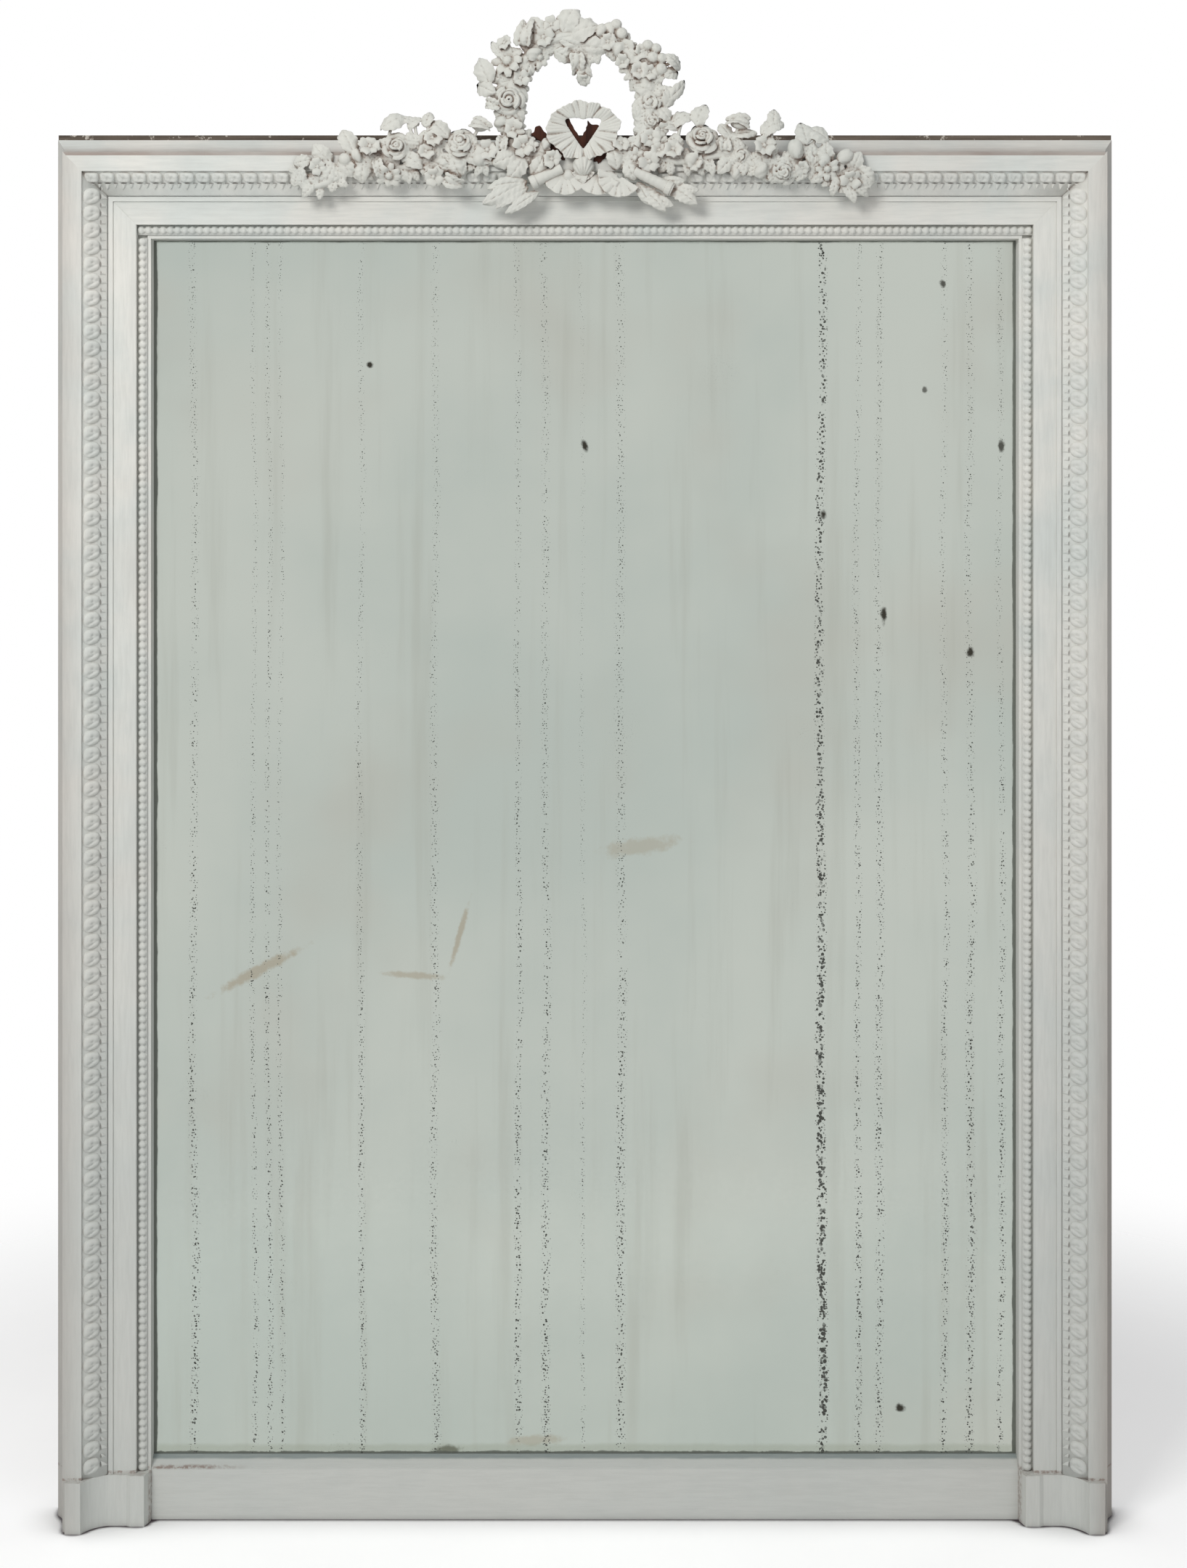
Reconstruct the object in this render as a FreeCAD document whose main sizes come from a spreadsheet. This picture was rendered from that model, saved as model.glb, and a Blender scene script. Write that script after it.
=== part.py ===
import FreeCAD, Part
import Sketcher
import math
import os

# Painted overmantel mirror, millimetres, +Z up, front towards -Y.
# The origin is the middle of the bottom rail's underside.
# In the sections below, x is measured out from the middle of the mirror and
# d is the depth, measured forward from the back plane of the frame.

DRIVING = {
    # the opening and the widths of the moulded profile, from the glass outwards
    "sight_half": 533.0,
    "sight_top": 1574.0,
    "fillet_width": 4.0,
    "pearl_width": 12.0,
    "hollow_width": 28.0,
    "bead_width": 6.0,
    "leaf_width": 28.0,
    "band_width": 19.0,
    "side_cove_width": 20.0,
    "top_cove_width": 26.0,
    # depths of the profile, forward from the back plane
    "lip_depth": 23.0,
    "glass_front": 20.0,
    "fillet_front": 41.0,
    "pearl_seat": 37.0,
    "hollow_front": 53.0,
    "hollow_radius": 90.0,
    "bead_front": 55.0,
    "leaf_seat_inner": 50.0,
    "leaf_seat_outer": 60.0,
    "leaf_front_inner": 57.0,
    "leaf_front_outer": 74.0,
    "band_front": 77.0,
    "cove_radius": 62.0,
    "cove_lip": 4.0,
    # foot of the frame
    "plinth_height": 62.0,
    "plinth_front": 84.0,
    "plinth_recess": 58.0,
    "plinth_pilaster": 61.0,
    "plinth_end": 44.0,
    "plinth_scoop": 42.0,
    "pilaster_width": 22.0,
    "pilaster_edge": 5.0,
    "rail_front": 39.0,
    "lip_height": 12.0,
    "lip_slope_foot": 2.0,
    "lip_thickness": 3.0,
    # plate, backing and fixings
    "glass_thickness": 5.0,
    "silver_thickness": 0.3,
    "glass_cover": 8.0,
    "glass_clearance": 4.0,
    "board_thickness": 10.0,
    "board_lap": 55.0,
    "board_gap": 0.3,
    "cap_height": 6.5,
    "cap_depth": 24.0,
    "dowel_radius": 4.0,
    "dowel_length": 50.0,
    "dowel_setback": 30.0,
    "screw_radius": 2.0,
    "screw_head_radius": 4.0,
    "screw_head_height": 2.5,
    "screw_length": 24.0,
    "screw_inset": 28.0,
    "wedge_length": 34.0,
    "wedge_width": 10.0,
    # leaf and pearl ornament
    "leaf_pitch": 20.8,
    "leaf_along": 19.0,
    "leaf_across": 24.0,
    "leaf_relief": 2.2,
    "pearl_radius": 4.3,
    "pearl_pitch": 9.0,
    "pearl_neck": 2.0,
    # hanging rings
    "hanger_height": 1450.0,
    "hanger_width": 26.0,
    "hanger_length": 55.0,
    "hanger_thickness": 2.5,
    "hanger_inset": 25.0,
    "ring_wire": 2.5,
    "ring_radius": 18.0,
    "ring_play": 0.06,
    "knuckle_radius": 4.6,
    "hanger_screw_radius": 2.0,
    "hanger_head_radius": 4.0,
    "hanger_screw_length": 20.0,
    "hanger_screw_first": 18.0,
    "hanger_screw_step": 24.0,
    # crest
    "wreath_radius": 85.0,
    "wreath_rise": 60.0,
    "wreath_offset": 7.0,
    "wreath_tube": 9.0,
    "stem_radius": 9.0,
    "stem_drop": 6.0,
    "stem_start": 52.0,
    "stem_reach": 346.0,
    "stalk_radius": 3.0,
    "petal_thickness": 7.0,
    "crest_dowel_radius": 3.0,
    "crest_dowel_length": 26.0,
}

BOARD_COUNT = 5
WEDGES_PER_SIDE = 4
WEDGES_ON_TOP = 3

# Lines of the profile and levels of the frame, built from the driving sizes.
LINES = {
    "pearl_inner": "sight_half + fillet_width",
    "pearl_outer": "pearl_inner + pearl_width",
    "bead_inner": "pearl_outer + hollow_width",
    "bead_outer": "bead_inner + bead_width",
    "leaf_outer": "bead_outer + leaf_width",
    "band_outer": "leaf_outer + band_width",
    "frame_half": "band_outer + side_cove_width",
    "glass_half": "sight_half + glass_cover",
    "rebate_half": "glass_half + glass_clearance",
    "board_half": "rebate_half + board_lap",
    "profile_width": "fillet_width + pearl_width + hollow_width + bead_width + leaf_width + band_width",
    "top_pearl_inner": "sight_top + fillet_width",
    "top_pearl_outer": "top_pearl_inner + pearl_width",
    "top_bead_inner": "top_pearl_outer + hollow_width",
    "top_bead_outer": "top_bead_inner + bead_width",
    "top_leaf_outer": "top_bead_outer + leaf_width",
    "top_band_outer": "top_leaf_outer + band_width",
    "top_edge": "top_band_outer + top_cove_width",
    "glass_top": "sight_top + glass_cover",
    "rebate_top": "glass_top + glass_clearance",
    "board_top": "rebate_top + board_lap",
    "glass_bottom": "plinth_height + glass_clearance",
    "mitre_top": "sight_top + profile_width + side_cove_width",
}

document = FreeCAD.newDocument("overmantel_mirror")
sheet = document.addObject("Spreadsheet::Sheet", "Sizes")
sub_parts = []


def fill_sheet():
    """Writes each driving size in a cell of its own, with its name as alias."""
    for row, (alias, value) in enumerate(DRIVING.items(), start=1):
        sheet.set(f"A{row}", alias)
        sheet.set(f"B{row}", str(value))
        sheet.setAlias(f"B{row}", alias)
    document.recompute()


def terms(words, sign=1):
    """Splits a sum of names into signed driving sizes."""
    found = []
    turn = 1
    for word in words.split():
        if word in ("+", "-"):
            turn = 1 if word == "+" else -1
        elif word in LINES:
            found += terms(LINES[word], sign * turn)
        else:
            found.append((sign * turn, word))
    return found


def size(words):
    """Value of a sum of names."""
    return sum(sign * float(sheet.get(alias)) for sign, alias in terms(words))


def cell(words):
    """The same sum as an expression that reads the sheet."""
    text = ""
    for sign, alias in terms(words):
        text += (" + " if sign > 0 else " - ") + "Sizes." + alias
    return text.strip().lstrip("+").strip()


# --- sketches and bodies -------------------------------------------------------------------

def plane_of(body, role):
    return next(item for item in body.Origin.OriginFeatures if item.Role == role)


def arc_between(first, last, radius, side):
    """Short arc from first to last, its centre on the left (side 1) or on the right (side -1)."""
    chord = last.sub(first)
    rise = math.sqrt(max(radius ** 2 - (chord.Length / 2) ** 2, 0.0))
    across = FreeCAD.Vector(-chord.y, chord.x, 0).normalize().multiply(side * rise)
    centre = first.add(last).multiply(0.5).add(across)
    start, end = (first, last) if side > 0 else (last, first)
    angles = [math.atan2(point.y - centre.y, point.x - centre.x) for point in (start, end)]
    circle = Part.Circle(centre, FreeCAD.Vector(0, 0, 1), radius)
    return Part.ArcOfCircle(circle, angles[0], angles[1])


def fix_coordinate(sketch, edge, point, words, kind, axis):
    """Ties one coordinate of a corner to the sheet, or to the axis where it is zero."""
    if not words:
        sketch.addConstraint(Sketcher.Constraint("PointOnObject", edge, point, axis))
        return
    index = sketch.addConstraint(Sketcher.Constraint(kind, -1, 1, edge, point, size(words)))
    sketch.setExpression(f"Constraints[{index}]", cell(words))


def draw_outline(sketch, corners):
    """Closed outline. A corner is (x, y), or (x, y, radius, side) where an arc leaves it."""
    places = [FreeCAD.Vector(size(corner[0]), size(corner[1]), 0) for corner in corners]
    edges = []
    for number, corner in enumerate(corners):
        first = places[number]
        last = places[(number + 1) % len(corners)]
        if len(corner) == 4:
            edge = sketch.addGeometry(arc_between(first, last, size(corner[2]), corner[3]), False)
            index = sketch.addConstraint(Sketcher.Constraint("Radius", edge, size(corner[2])))
            sketch.setExpression(f"Constraints[{index}]", cell(corner[2]))
            edges.append((edge, 1, 2) if corner[3] > 0 else (edge, 2, 1))
        else:
            edge = sketch.addGeometry(Part.LineSegment(first, last), False)
            edges.append((edge, 1, 2))
    for number, (edge, start, end) in enumerate(edges):
        following = edges[(number + 1) % len(edges)]
        sketch.addConstraint(Sketcher.Constraint("Coincident", edge, end, following[0], following[1]))
        fix_coordinate(sketch, edge, start, corners[number][0], "DistanceX", -2)
        fix_coordinate(sketch, edge, start, corners[number][1], "DistanceY", -1)


def add_sketch(body, name, role, corners):
    sketch = body.newObject("Sketcher::SketchObject", name)
    sketch.AttachmentSupport = [(plane_of(body, role), "")]
    sketch.MapMode = "FlatFace"
    draw_outline(sketch, corners)
    return sketch


def add_body(name):
    """A body whose own Y runs forward from the back plane."""
    body = document.addObject("PartDesign::Body", name)
    turn_forward(body)
    return body


def forward_placement():
    """Local +X becomes the mirror's left, local +Y its front, with y = 0 in mid rail."""
    half_turn = FreeCAD.Rotation(FreeCAD.Vector(0, 0, 1), 180)
    return FreeCAD.Placement(FreeCAD.Vector(0, size("rail_front") / 2, 0), half_turn)


def turn_forward(item):
    item.Placement = forward_placement()
    item.setExpression("Placement.Base.y", "Sizes.rail_front / 2")


def pad_upright(name, corners, bottom, top):
    """Section in x and d, padded upwards from one level to another."""
    body = add_body(name)
    sketch = add_sketch(body, name + "_section", "XY_Plane", corners)
    if bottom:
        sketch.setExpression("AttachmentOffset.Base.z", cell(bottom))
    pad = body.newObject("PartDesign::Pad", name + "_pad")
    pad.Profile = sketch
    pad.setExpression("Length", f"({cell(top)}) - ({cell(bottom)})" if bottom else cell(top))
    return body


def pad_across(name, corners, half):
    """Section in d and z, padded evenly to both sides of the middle."""
    body = add_body(name)
    sketch = add_sketch(body, name + "_section", "YZ_Plane", corners)
    pad = body.newObject("PartDesign::Pad", name + "_pad")
    pad.Profile = sketch
    pad.SideType = "Symmetric"
    pad.setExpression("Length", f"2 * ({cell(half)})")
    return body


def cut_front_view(body, name, corners):
    """Cuts a front-view outline through the whole depth."""
    document.recompute()
    before = body.Shape.Volume
    sketch = add_sketch(body, name, "XZ_Plane", corners)
    pocket = body.newObject("PartDesign::Pocket", name + "_cut")
    pocket.Profile = sketch
    pocket.Type = "ThroughAll"
    pocket.SideType = "Symmetric"
    document.recompute()
    if body.Shape.Volume > before - 1:
        raise RuntimeError(name + " cuts nothing")


def mirror_cut(body, name):
    """Repeats the last cut of a body on the other side of the middle."""
    document.recompute()
    before = body.Shape.Volume
    mirrored = body.newObject("PartDesign::Mirrored", name)
    mirrored.Originals = [body.Tip]
    mirrored.MirrorPlane = (plane_of(body, "YZ_Plane"), "")
    body.Tip = mirrored
    document.recompute()
    if body.Shape.Volume > before - 1:
        raise RuntimeError(name + " cuts nothing")


def keep(label, item):
    """Names an object as a sub-part of the mirror."""
    item.Label = label
    sub_parts.append(item)
    return item


def mirrored_twin(label, source):
    """The same piece on the right-hand side."""
    twin = document.addObject("Part::Mirroring", label)
    twin.Source = source
    twin.Normal = FreeCAD.Vector(1, 0, 0)
    twin.Base = FreeCAD.Vector(0, 0, 0)
    return keep(label, twin)


def add_box(label, x_span, d_span, z_span):
    """Box between named lines. Each span is a pair (low, high) of sums of names."""
    box = document.addObject("Part::Box", label)
    turn_forward(box)
    for axis, span, measure in zip("xyz", (x_span, d_span, z_span), ("Length", "Width", "Height")):
        low = f"({cell(span[0])})" if span[0] else "0"
        high = f"({cell(span[1])})"
        box.setExpression(measure, f"{high} - {low}")
    corner_x = f"-({cell(x_span[0])})" if x_span[0] else "0"
    corner_d = f"({cell(d_span[0])})" if d_span[0] else "0"
    corner_z = cell(z_span[0]) if z_span[0] else "0"
    box.setExpression("Placement.Base.x", corner_x)
    box.setExpression("Placement.Base.y", f"Sizes.rail_front / 2 - {corner_d}")
    box.setExpression("Placement.Base.z", corner_z)
    return box


def add_centred_box(label, half, d_span, z_span):
    """Box as wide as twice a named half width, about the middle of the mirror."""
    box = add_box(label, ("", half), d_span, z_span)
    box.setExpression("Length", f"2 * ({cell(half)})")
    box.setExpression("Placement.Base.x", cell(half))
    return box


def add_shape(label, shape):
    """A sub-part whose shape is made by formula, in the same local axes."""
    item = document.addObject("Part::Feature", label)
    item.Shape = shape
    item.Placement = forward_placement().multiply(shape.Placement)
    return item


def drill(name, source, tool):
    """Cuts the seats of the fixings out of a piece."""
    cut = document.addObject("Part::Cut", name)
    cut.Base = source
    cut.Tool = tool
    return cut


# --- frame ---------------------------------------------------------------------------------

def stile_section():
    return [
        ("rebate_half", "board_thickness"),
        ("board_half", "board_thickness"),
        ("board_half", ""),
        ("frame_half", ""),
        ("frame_half", "lip_depth"),
        ("band_outer", "lip_depth"),
        ("band_outer", "band_front"),
        ("leaf_outer", "band_front"),
        ("leaf_outer", "leaf_seat_outer"),
        ("bead_outer", "leaf_seat_inner"),
        ("bead_outer", "bead_front"),
        ("bead_inner", "bead_front"),
        ("bead_inner", "hollow_front", "hollow_radius", 1),
        ("pearl_outer", "hollow_front"),
        ("pearl_outer", "pearl_seat"),
        ("pearl_inner", "pearl_seat"),
        ("pearl_inner", "glass_front"),
        ("rebate_half", "glass_front"),
    ]


def top_section():
    """The stile's section again, rising from the sight line of the top rail."""
    return [
        ("board_thickness", "rebate_top"),
        ("glass_front", "rebate_top"),
        ("glass_front", "top_pearl_inner"),
        ("pearl_seat", "top_pearl_inner"),
        ("pearl_seat", "top_pearl_outer"),
        ("hollow_front", "top_pearl_outer", "hollow_radius", -1),
        ("hollow_front", "top_bead_inner"),
        ("bead_front", "top_bead_inner"),
        ("bead_front", "top_bead_outer"),
        ("leaf_seat_inner", "top_bead_outer"),
        ("leaf_seat_outer", "top_leaf_outer"),
        ("band_front", "top_leaf_outer"),
        ("band_front", "top_band_outer"),
        ("lip_depth", "top_band_outer"),
        ("lip_depth", "top_edge"),
        ("", "top_edge"),
        ("", "board_top"),
        ("board_thickness", "board_top"),
    ]


def above_mitre():
    return [
        ("sight_half", "sight_top"),
        ("frame_half", "mitre_top"),
        ("sight_half", "mitre_top"),
    ]


def below_mitre():
    return [
        ("sight_half", "sight_top"),
        ("frame_half", "sight_top"),
        ("frame_half", "mitre_top"),
    ]


def build_stiles(fixings):
    stile = pad_upright("stile_blank", stile_section(), "plinth_height", "mitre_top")
    cut_front_view(stile, "stile_mitre", above_mitre())
    left = keep("stile_left", drill("stile_left", stile, fixings))
    mirrored_twin("stile_right", left)


def build_top_rail(fixings):
    rail = pad_across("top_rail_blank", top_section(), "frame_half")
    cut_front_view(rail, "top_rail_mitre", below_mitre())
    mirror_cut(rail, "top_rail_other_mitre")
    keep("top_rail", drill("top_rail", rail, fixings))


def build_bottom_rail(fixings):
    rail = add_centred_box("bottom_rail_blank", "sight_half", ("", "rail_front"), ("", "plinth_height"))
    keep("bottom_rail", drill("bottom_rail", rail, fixings))
    lip = pad_across("bottom_lip", [
        ("glass_front", "plinth_height"),
        ("rail_front", "plinth_height"),
        ("rail_front", "plinth_height + lip_slope_foot"),
        ("glass_front + lip_thickness", "plinth_height + lip_height"),
        ("glass_front", "plinth_height + lip_height"),
    ], "sight_half")
    keep("bottom_lip", lip)


def build_plinths(fixings):
    plinth = pad_upright("plinth_blank", [
        ("sight_half", ""),
        ("frame_half", ""),
        ("frame_half", "lip_depth"),
        ("band_outer", "lip_depth"),
        ("band_outer", "plinth_front"),
        ("leaf_outer", "plinth_front", "plinth_scoop", -1),
        ("bead_outer", "plinth_recess"),
        ("sight_half + pilaster_width + pilaster_edge", "plinth_recess"),
        ("sight_half + pilaster_width", "plinth_pilaster"),
        ("sight_half + pilaster_edge", "plinth_pilaster"),
        ("sight_half", "plinth_end"),
    ], "", "plinth_height")
    left = keep("plinth_left", drill("plinth_left", plinth, fixings))
    mirrored_twin("plinth_right", left)
    document.recompute()


def build_coves():
    side = pad_upright("cove_left", [
        ("band_outer", "lip_depth"),
        ("frame_half", "lip_depth"),
        ("frame_half", "lip_depth + cove_lip", "cove_radius", -1),
        ("band_outer + cove_lip", "band_front"),
        ("band_outer", "band_front"),
    ], "", "top_edge")
    cut_front_view(side, "side_cove_mitre", [
        ("band_outer", "top_band_outer"),
        ("frame_half", "top_edge"),
        ("band_outer", "top_edge"),
    ])
    mirrored_twin("cove_right", keep("cove_left", side))
    top = pad_across("cove_top", [
        ("lip_depth", "top_band_outer"),
        ("band_front", "top_band_outer"),
        ("band_front", "top_band_outer + cove_lip", "cove_radius", -1),
        ("lip_depth + cove_lip", "top_edge"),
        ("lip_depth", "top_edge"),
    ], "frame_half")
    cut_front_view(top, "top_cove_mitre", [
        ("band_outer", "top_band_outer"),
        ("frame_half", "top_band_outer"),
        ("frame_half", "top_edge"),
    ])
    mirror_cut(top, "top_cove_other_mitre")
    keep("cove_top", top)


def build_cap():
    keep("cap_board", add_centred_box(
        "cap_board", "frame_half", ("", "cap_depth"), ("top_edge", "top_edge + cap_height")))


def build_sight_fillets():
    side = add_box("sight_fillet_left", ("sight_half", "pearl_inner"),
                   ("glass_front", "fillet_front"), ("plinth_height", "sight_top"))
    side.setExpression("Placement.Base.x", f"-({cell('sight_half')})")
    mirrored_twin("sight_fillet_right", keep("sight_fillet_left", side))
    keep("sight_fillet_top", add_centred_box(
        "sight_fillet_top", "pearl_inner", ("glass_front", "fillet_front"),
        ("sight_top", "top_pearl_inner")))


# --- leaf moulding and pearls ----------------------------------------------------------------

def pointed_leaf(length, breadth, thickness):
    """Flat leaf with two pointed ends along X, standing on the XY plane."""
    half = length / 2
    tip, tail = FreeCAD.Vector(half, 0, 0), FreeCAD.Vector(-half, 0, 0)
    sides = [Part.Arc(tail, FreeCAD.Vector(0, side * breadth / 2, 0), tip).toShape() for side in (1, -1)]
    return Part.Face(Part.Wire(sides)).extrude(FreeCAD.Vector(0, 0, thickness))


def leaf_on_slope():
    """One leaf standing on the sloping front of the moulding, at z = 0."""
    inner = FreeCAD.Vector(size("bead_outer"), size("leaf_front_inner"), 0)
    outer = FreeCAD.Vector(size("leaf_outer"), size("leaf_front_outer"), 0)
    slope = outer.sub(inner)
    leaf = pointed_leaf(size("leaf_across"), size("leaf_along"), size("leaf_relief"))
    across = slope.normalize()
    forward = FreeCAD.Vector(-across.y, across.x, 0)
    upright = FreeCAD.Vector(0, 0, 1)
    turn = FreeCAD.Rotation(across, upright.negative(), forward, "XYZ")
    return leaf, turn, inner.add(outer).multiply(0.5)


def leaf_row(low, high, crosswise):
    """Leaves spread evenly between two levels of a stile, or between two lines of the top rail."""
    leaf, turn, middle = leaf_on_slope()
    count = max(2, int((high - low) / size("leaf_pitch")))
    pitch = (high - low) / count
    rise = size("sight_top") - size("sight_half")
    row = []
    for number in range(count):
        piece = leaf.copy()
        place = FreeCAD.Vector(middle.x, middle.y, low + (number + 0.5) * pitch)
        piece.Placement = FreeCAD.Placement(place, turn)
        if crosswise:
            lay_across(piece, rise)
        row.append(piece)
    return row


def lay_across(piece, rise):
    """Turns a piece of the stile's profile into the top rail's: x becomes z, and z becomes x."""
    swap = FreeCAD.Matrix(0, 0, 1, 0, 0, 1, 0, 0, 1, 0, 0, rise, 0, 0, 0, 1)
    piece.transformShape(swap, True)


def build_leaf_mouldings():
    section = [
        ("bead_outer", "leaf_seat_inner"),
        ("leaf_outer", "leaf_seat_outer"),
        ("leaf_outer", "leaf_front_outer"),
        ("bead_outer", "leaf_front_inner"),
    ]
    side = pad_upright("leaf_bar_side", section, "plinth_height", "mitre_top")
    cut_front_view(side, "leaf_bar_side_mitre", above_mitre())
    top = pad_across("leaf_bar_top", [
        ("leaf_seat_inner", "top_bead_outer"),
        ("leaf_front_inner", "top_bead_outer"),
        ("leaf_front_outer", "top_leaf_outer"),
        ("leaf_seat_outer", "top_leaf_outer"),
    ], "frame_half")
    cut_front_view(top, "leaf_bar_top_mitre", below_mitre())
    mirror_cut(top, "leaf_bar_top_other_mitre")
    document.recompute()
    leaves = leaf_row(size("plinth_height"), size("sight_top"), False)
    left = keep("leaf_moulding_left", carve_leaves("leaf_moulding_left", side, leaves))
    mirrored_twin("leaf_moulding_right", left)
    row = leaf_row(-size("sight_half"), size("sight_half"), True)
    keep("leaf_moulding_top", carve_leaves("leaf_moulding_top", top, row))


def carve_leaves(name, bar, leaves):
    """Joins a bar and its row of leaves into one cast moulding."""
    row = add_shape(name + "_leaves", Part.makeCompound(leaves))
    joined = document.addObject("Part::Fuse", name)
    joined.Base = bar
    joined.Tool = row
    joined.Refine = False
    return joined


PEARL_END_PLAY = 0.1


def pearl_string(length):
    """Half-round string of pearls along Z from 0, its flat back in the plane y = 0."""
    radius, neck = size("pearl_radius"), size("pearl_neck")
    count = max(2, round(length / size("pearl_pitch")))
    pitch = length / count
    reach = min(math.sqrt(radius ** 2 - neck ** 2), pitch / 2 - PEARL_END_PLAY)
    at_neck = math.sqrt(radius ** 2 - reach ** 2)
    edges = [Part.LineSegment(FreeCAD.Vector(0, 0, 0), FreeCAD.Vector(at_neck, 0, 0)).toShape()]
    last = FreeCAD.Vector(at_neck, 0, 0)
    for number in range(count):
        middle = (number + 0.5) * pitch
        start = FreeCAD.Vector(at_neck, 0, middle - reach)
        crown = FreeCAD.Vector(radius, 0, middle)
        end = FreeCAD.Vector(at_neck, 0, middle + reach)
        edges.append(Part.LineSegment(last, start).toShape())
        edges.append(Part.Arc(start, crown, end).toShape())
        last = end
    top = FreeCAD.Vector(at_neck, 0, length)
    axis_top = FreeCAD.Vector(0, 0, length)
    edges.append(Part.LineSegment(last, top).toShape())
    edges.append(Part.LineSegment(top, axis_top).toShape())
    edges.append(Part.LineSegment(axis_top, FreeCAD.Vector(0, 0, 0)).toShape())
    face = Part.Face(Part.Wire(edges))
    return face.revolve(FreeCAD.Vector(0, 0, 0), FreeCAD.Vector(0, 0, 1), 180)


def build_pearl_strings():
    seat = size("pearl_seat")
    middle = (size("pearl_inner") + size("pearl_outer")) / 2
    low = size("plinth_height")
    side = pearl_string(size("sight_top") - low)
    side.translate(FreeCAD.Vector(middle, seat, low))
    mirrored_twin("pearls_right", keep("pearls_left", add_shape("pearls_left", side)))
    half = size("pearl_outer")
    top = pearl_string(2 * half)
    top.rotate(FreeCAD.Vector(0, 0, 0), FreeCAD.Vector(0, 1, 0), 90)
    top_middle = (size("top_pearl_inner") + size("top_pearl_outer")) / 2
    top.translate(FreeCAD.Vector(-half, seat, top_middle))
    keep("pearls_top", add_shape("pearls_top", top))


# --- plate and backing -----------------------------------------------------------------------

def build_plate():
    keep("mirror_glass", add_centred_box(
        "mirror_glass", "glass_half", ("glass_front - glass_thickness", "glass_front"),
        ("glass_bottom", "glass_top")))
    keep("silvering", add_centred_box(
        "silvering", "glass_half",
        ("glass_front - glass_thickness - silver_thickness", "glass_front - glass_thickness"),
        ("glass_bottom", "glass_top")))


def small_block(x_low, x_high, d_low, d_high, z_low, z_high):
    return Part.makeBox(x_high - x_low, d_high - d_low, z_high - z_low,
                        FreeCAD.Vector(x_low, d_low, z_low))


def build_wedges():
    """Softwood blocks glued round the back of the plate, and two that it stands on."""
    length, width = size("wedge_length"), size("wedge_width")
    back = size("board_thickness")
    front = size("glass_front - glass_thickness - silver_thickness")
    side, top = size("rebate_half"), size("rebate_top")
    bottom = size("plinth_height")
    blocks = []
    for number in range(WEDGES_PER_SIDE):
        middle = bottom + (number + 0.5) * (top - bottom) / WEDGES_PER_SIDE
        low, high = middle - length / 2, middle + length / 2
        blocks.append(small_block(side - width, side, back, front, low, high))
        blocks.append(small_block(-side, width - side, back, front, low, high))
    for number in range(WEDGES_ON_TOP):
        middle = (number + 0.5) * 2 * side / WEDGES_ON_TOP - side
        blocks.append(small_block(middle - length / 2, middle + length / 2,
                                  back, front, top - width, top))
    keep("glazing_wedges", add_shape("glazing_wedges", Part.makeCompound(blocks)))
    glass_back = size("glass_front - glass_thickness")
    stands = []
    for middle in (-side / 2, side / 2):
        stands.append(small_block(middle - length, middle + length, glass_back,
                                  size("glass_front"), bottom, size("glass_bottom")))
    keep("setting_blocks", add_shape("setting_blocks", Part.makeCompound(stands)))


def board_level(number):
    """Level of the lower edge of a back board, counted from the bottom."""
    span = f"({cell('board_top')}) - ({cell('plinth_height')})"
    return f"{cell('plinth_height')} + {number} * ({span}) / {BOARD_COUNT}"


def build_back_boards(screws):
    for number in range(BOARD_COUNT):
        name = f"back_board_{number + 1}"
        board = add_centred_box(name + "_blank", "board_half", ("", "board_thickness"),
                                ("plinth_height", "board_top"))
        gap = "0" if number == BOARD_COUNT - 1 else "Sizes.board_gap"
        board.setExpression("Placement.Base.z", board_level(number))
        board.setExpression("Height", f"({board_level(number + 1)}) - ({board_level(number)}) - {gap}")
        keep(name, drill(name, board, screws))


# --- fixings ---------------------------------------------------------------------------------

def screw_shape(radius, head_radius, head_height, length):
    """Countersunk screw along +Y, its head flush with the plane y = 0."""
    point = radius
    profile = [(0, 0), (head_radius, 0), (radius, head_height), (radius, length - point), (0, length)]
    wire = Part.makePolygon([FreeCAD.Vector(x, y, 0) for x, y in profile + profile[:1]])
    return Part.Face(wire).revolve(FreeCAD.Vector(0, 0, 0), FreeCAD.Vector(0, 1, 0), 360)


def add_board_screws():
    """Two screws in each end of each back board."""
    low, high = size("plinth_height"), size("board_top")
    pitch = (high - low) / BOARD_COUNT
    inset = size("screw_inset")
    across = size("board_half") - inset
    screw = screw_shape(size("screw_radius"), size("screw_head_radius"),
                        size("screw_head_height"), size("screw_length"))
    screws = []
    for number in range(BOARD_COUNT):
        bottom = low + number * pitch
        for level in (bottom + inset, bottom + pitch - inset):
            for x in (-across, across):
                screws.append(screw.translated(FreeCAD.Vector(x, 0, level)))
    return keep("board_screws", add_shape("board_screws", Part.makeCompound(screws)))


def peg(radius, length, middle, direction):
    """Round dowel, centred on a point."""
    start = middle.sub(FreeCAD.Vector(direction).normalize().multiply(length / 2))
    return Part.makeCylinder(radius, length, start, direction)


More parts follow.
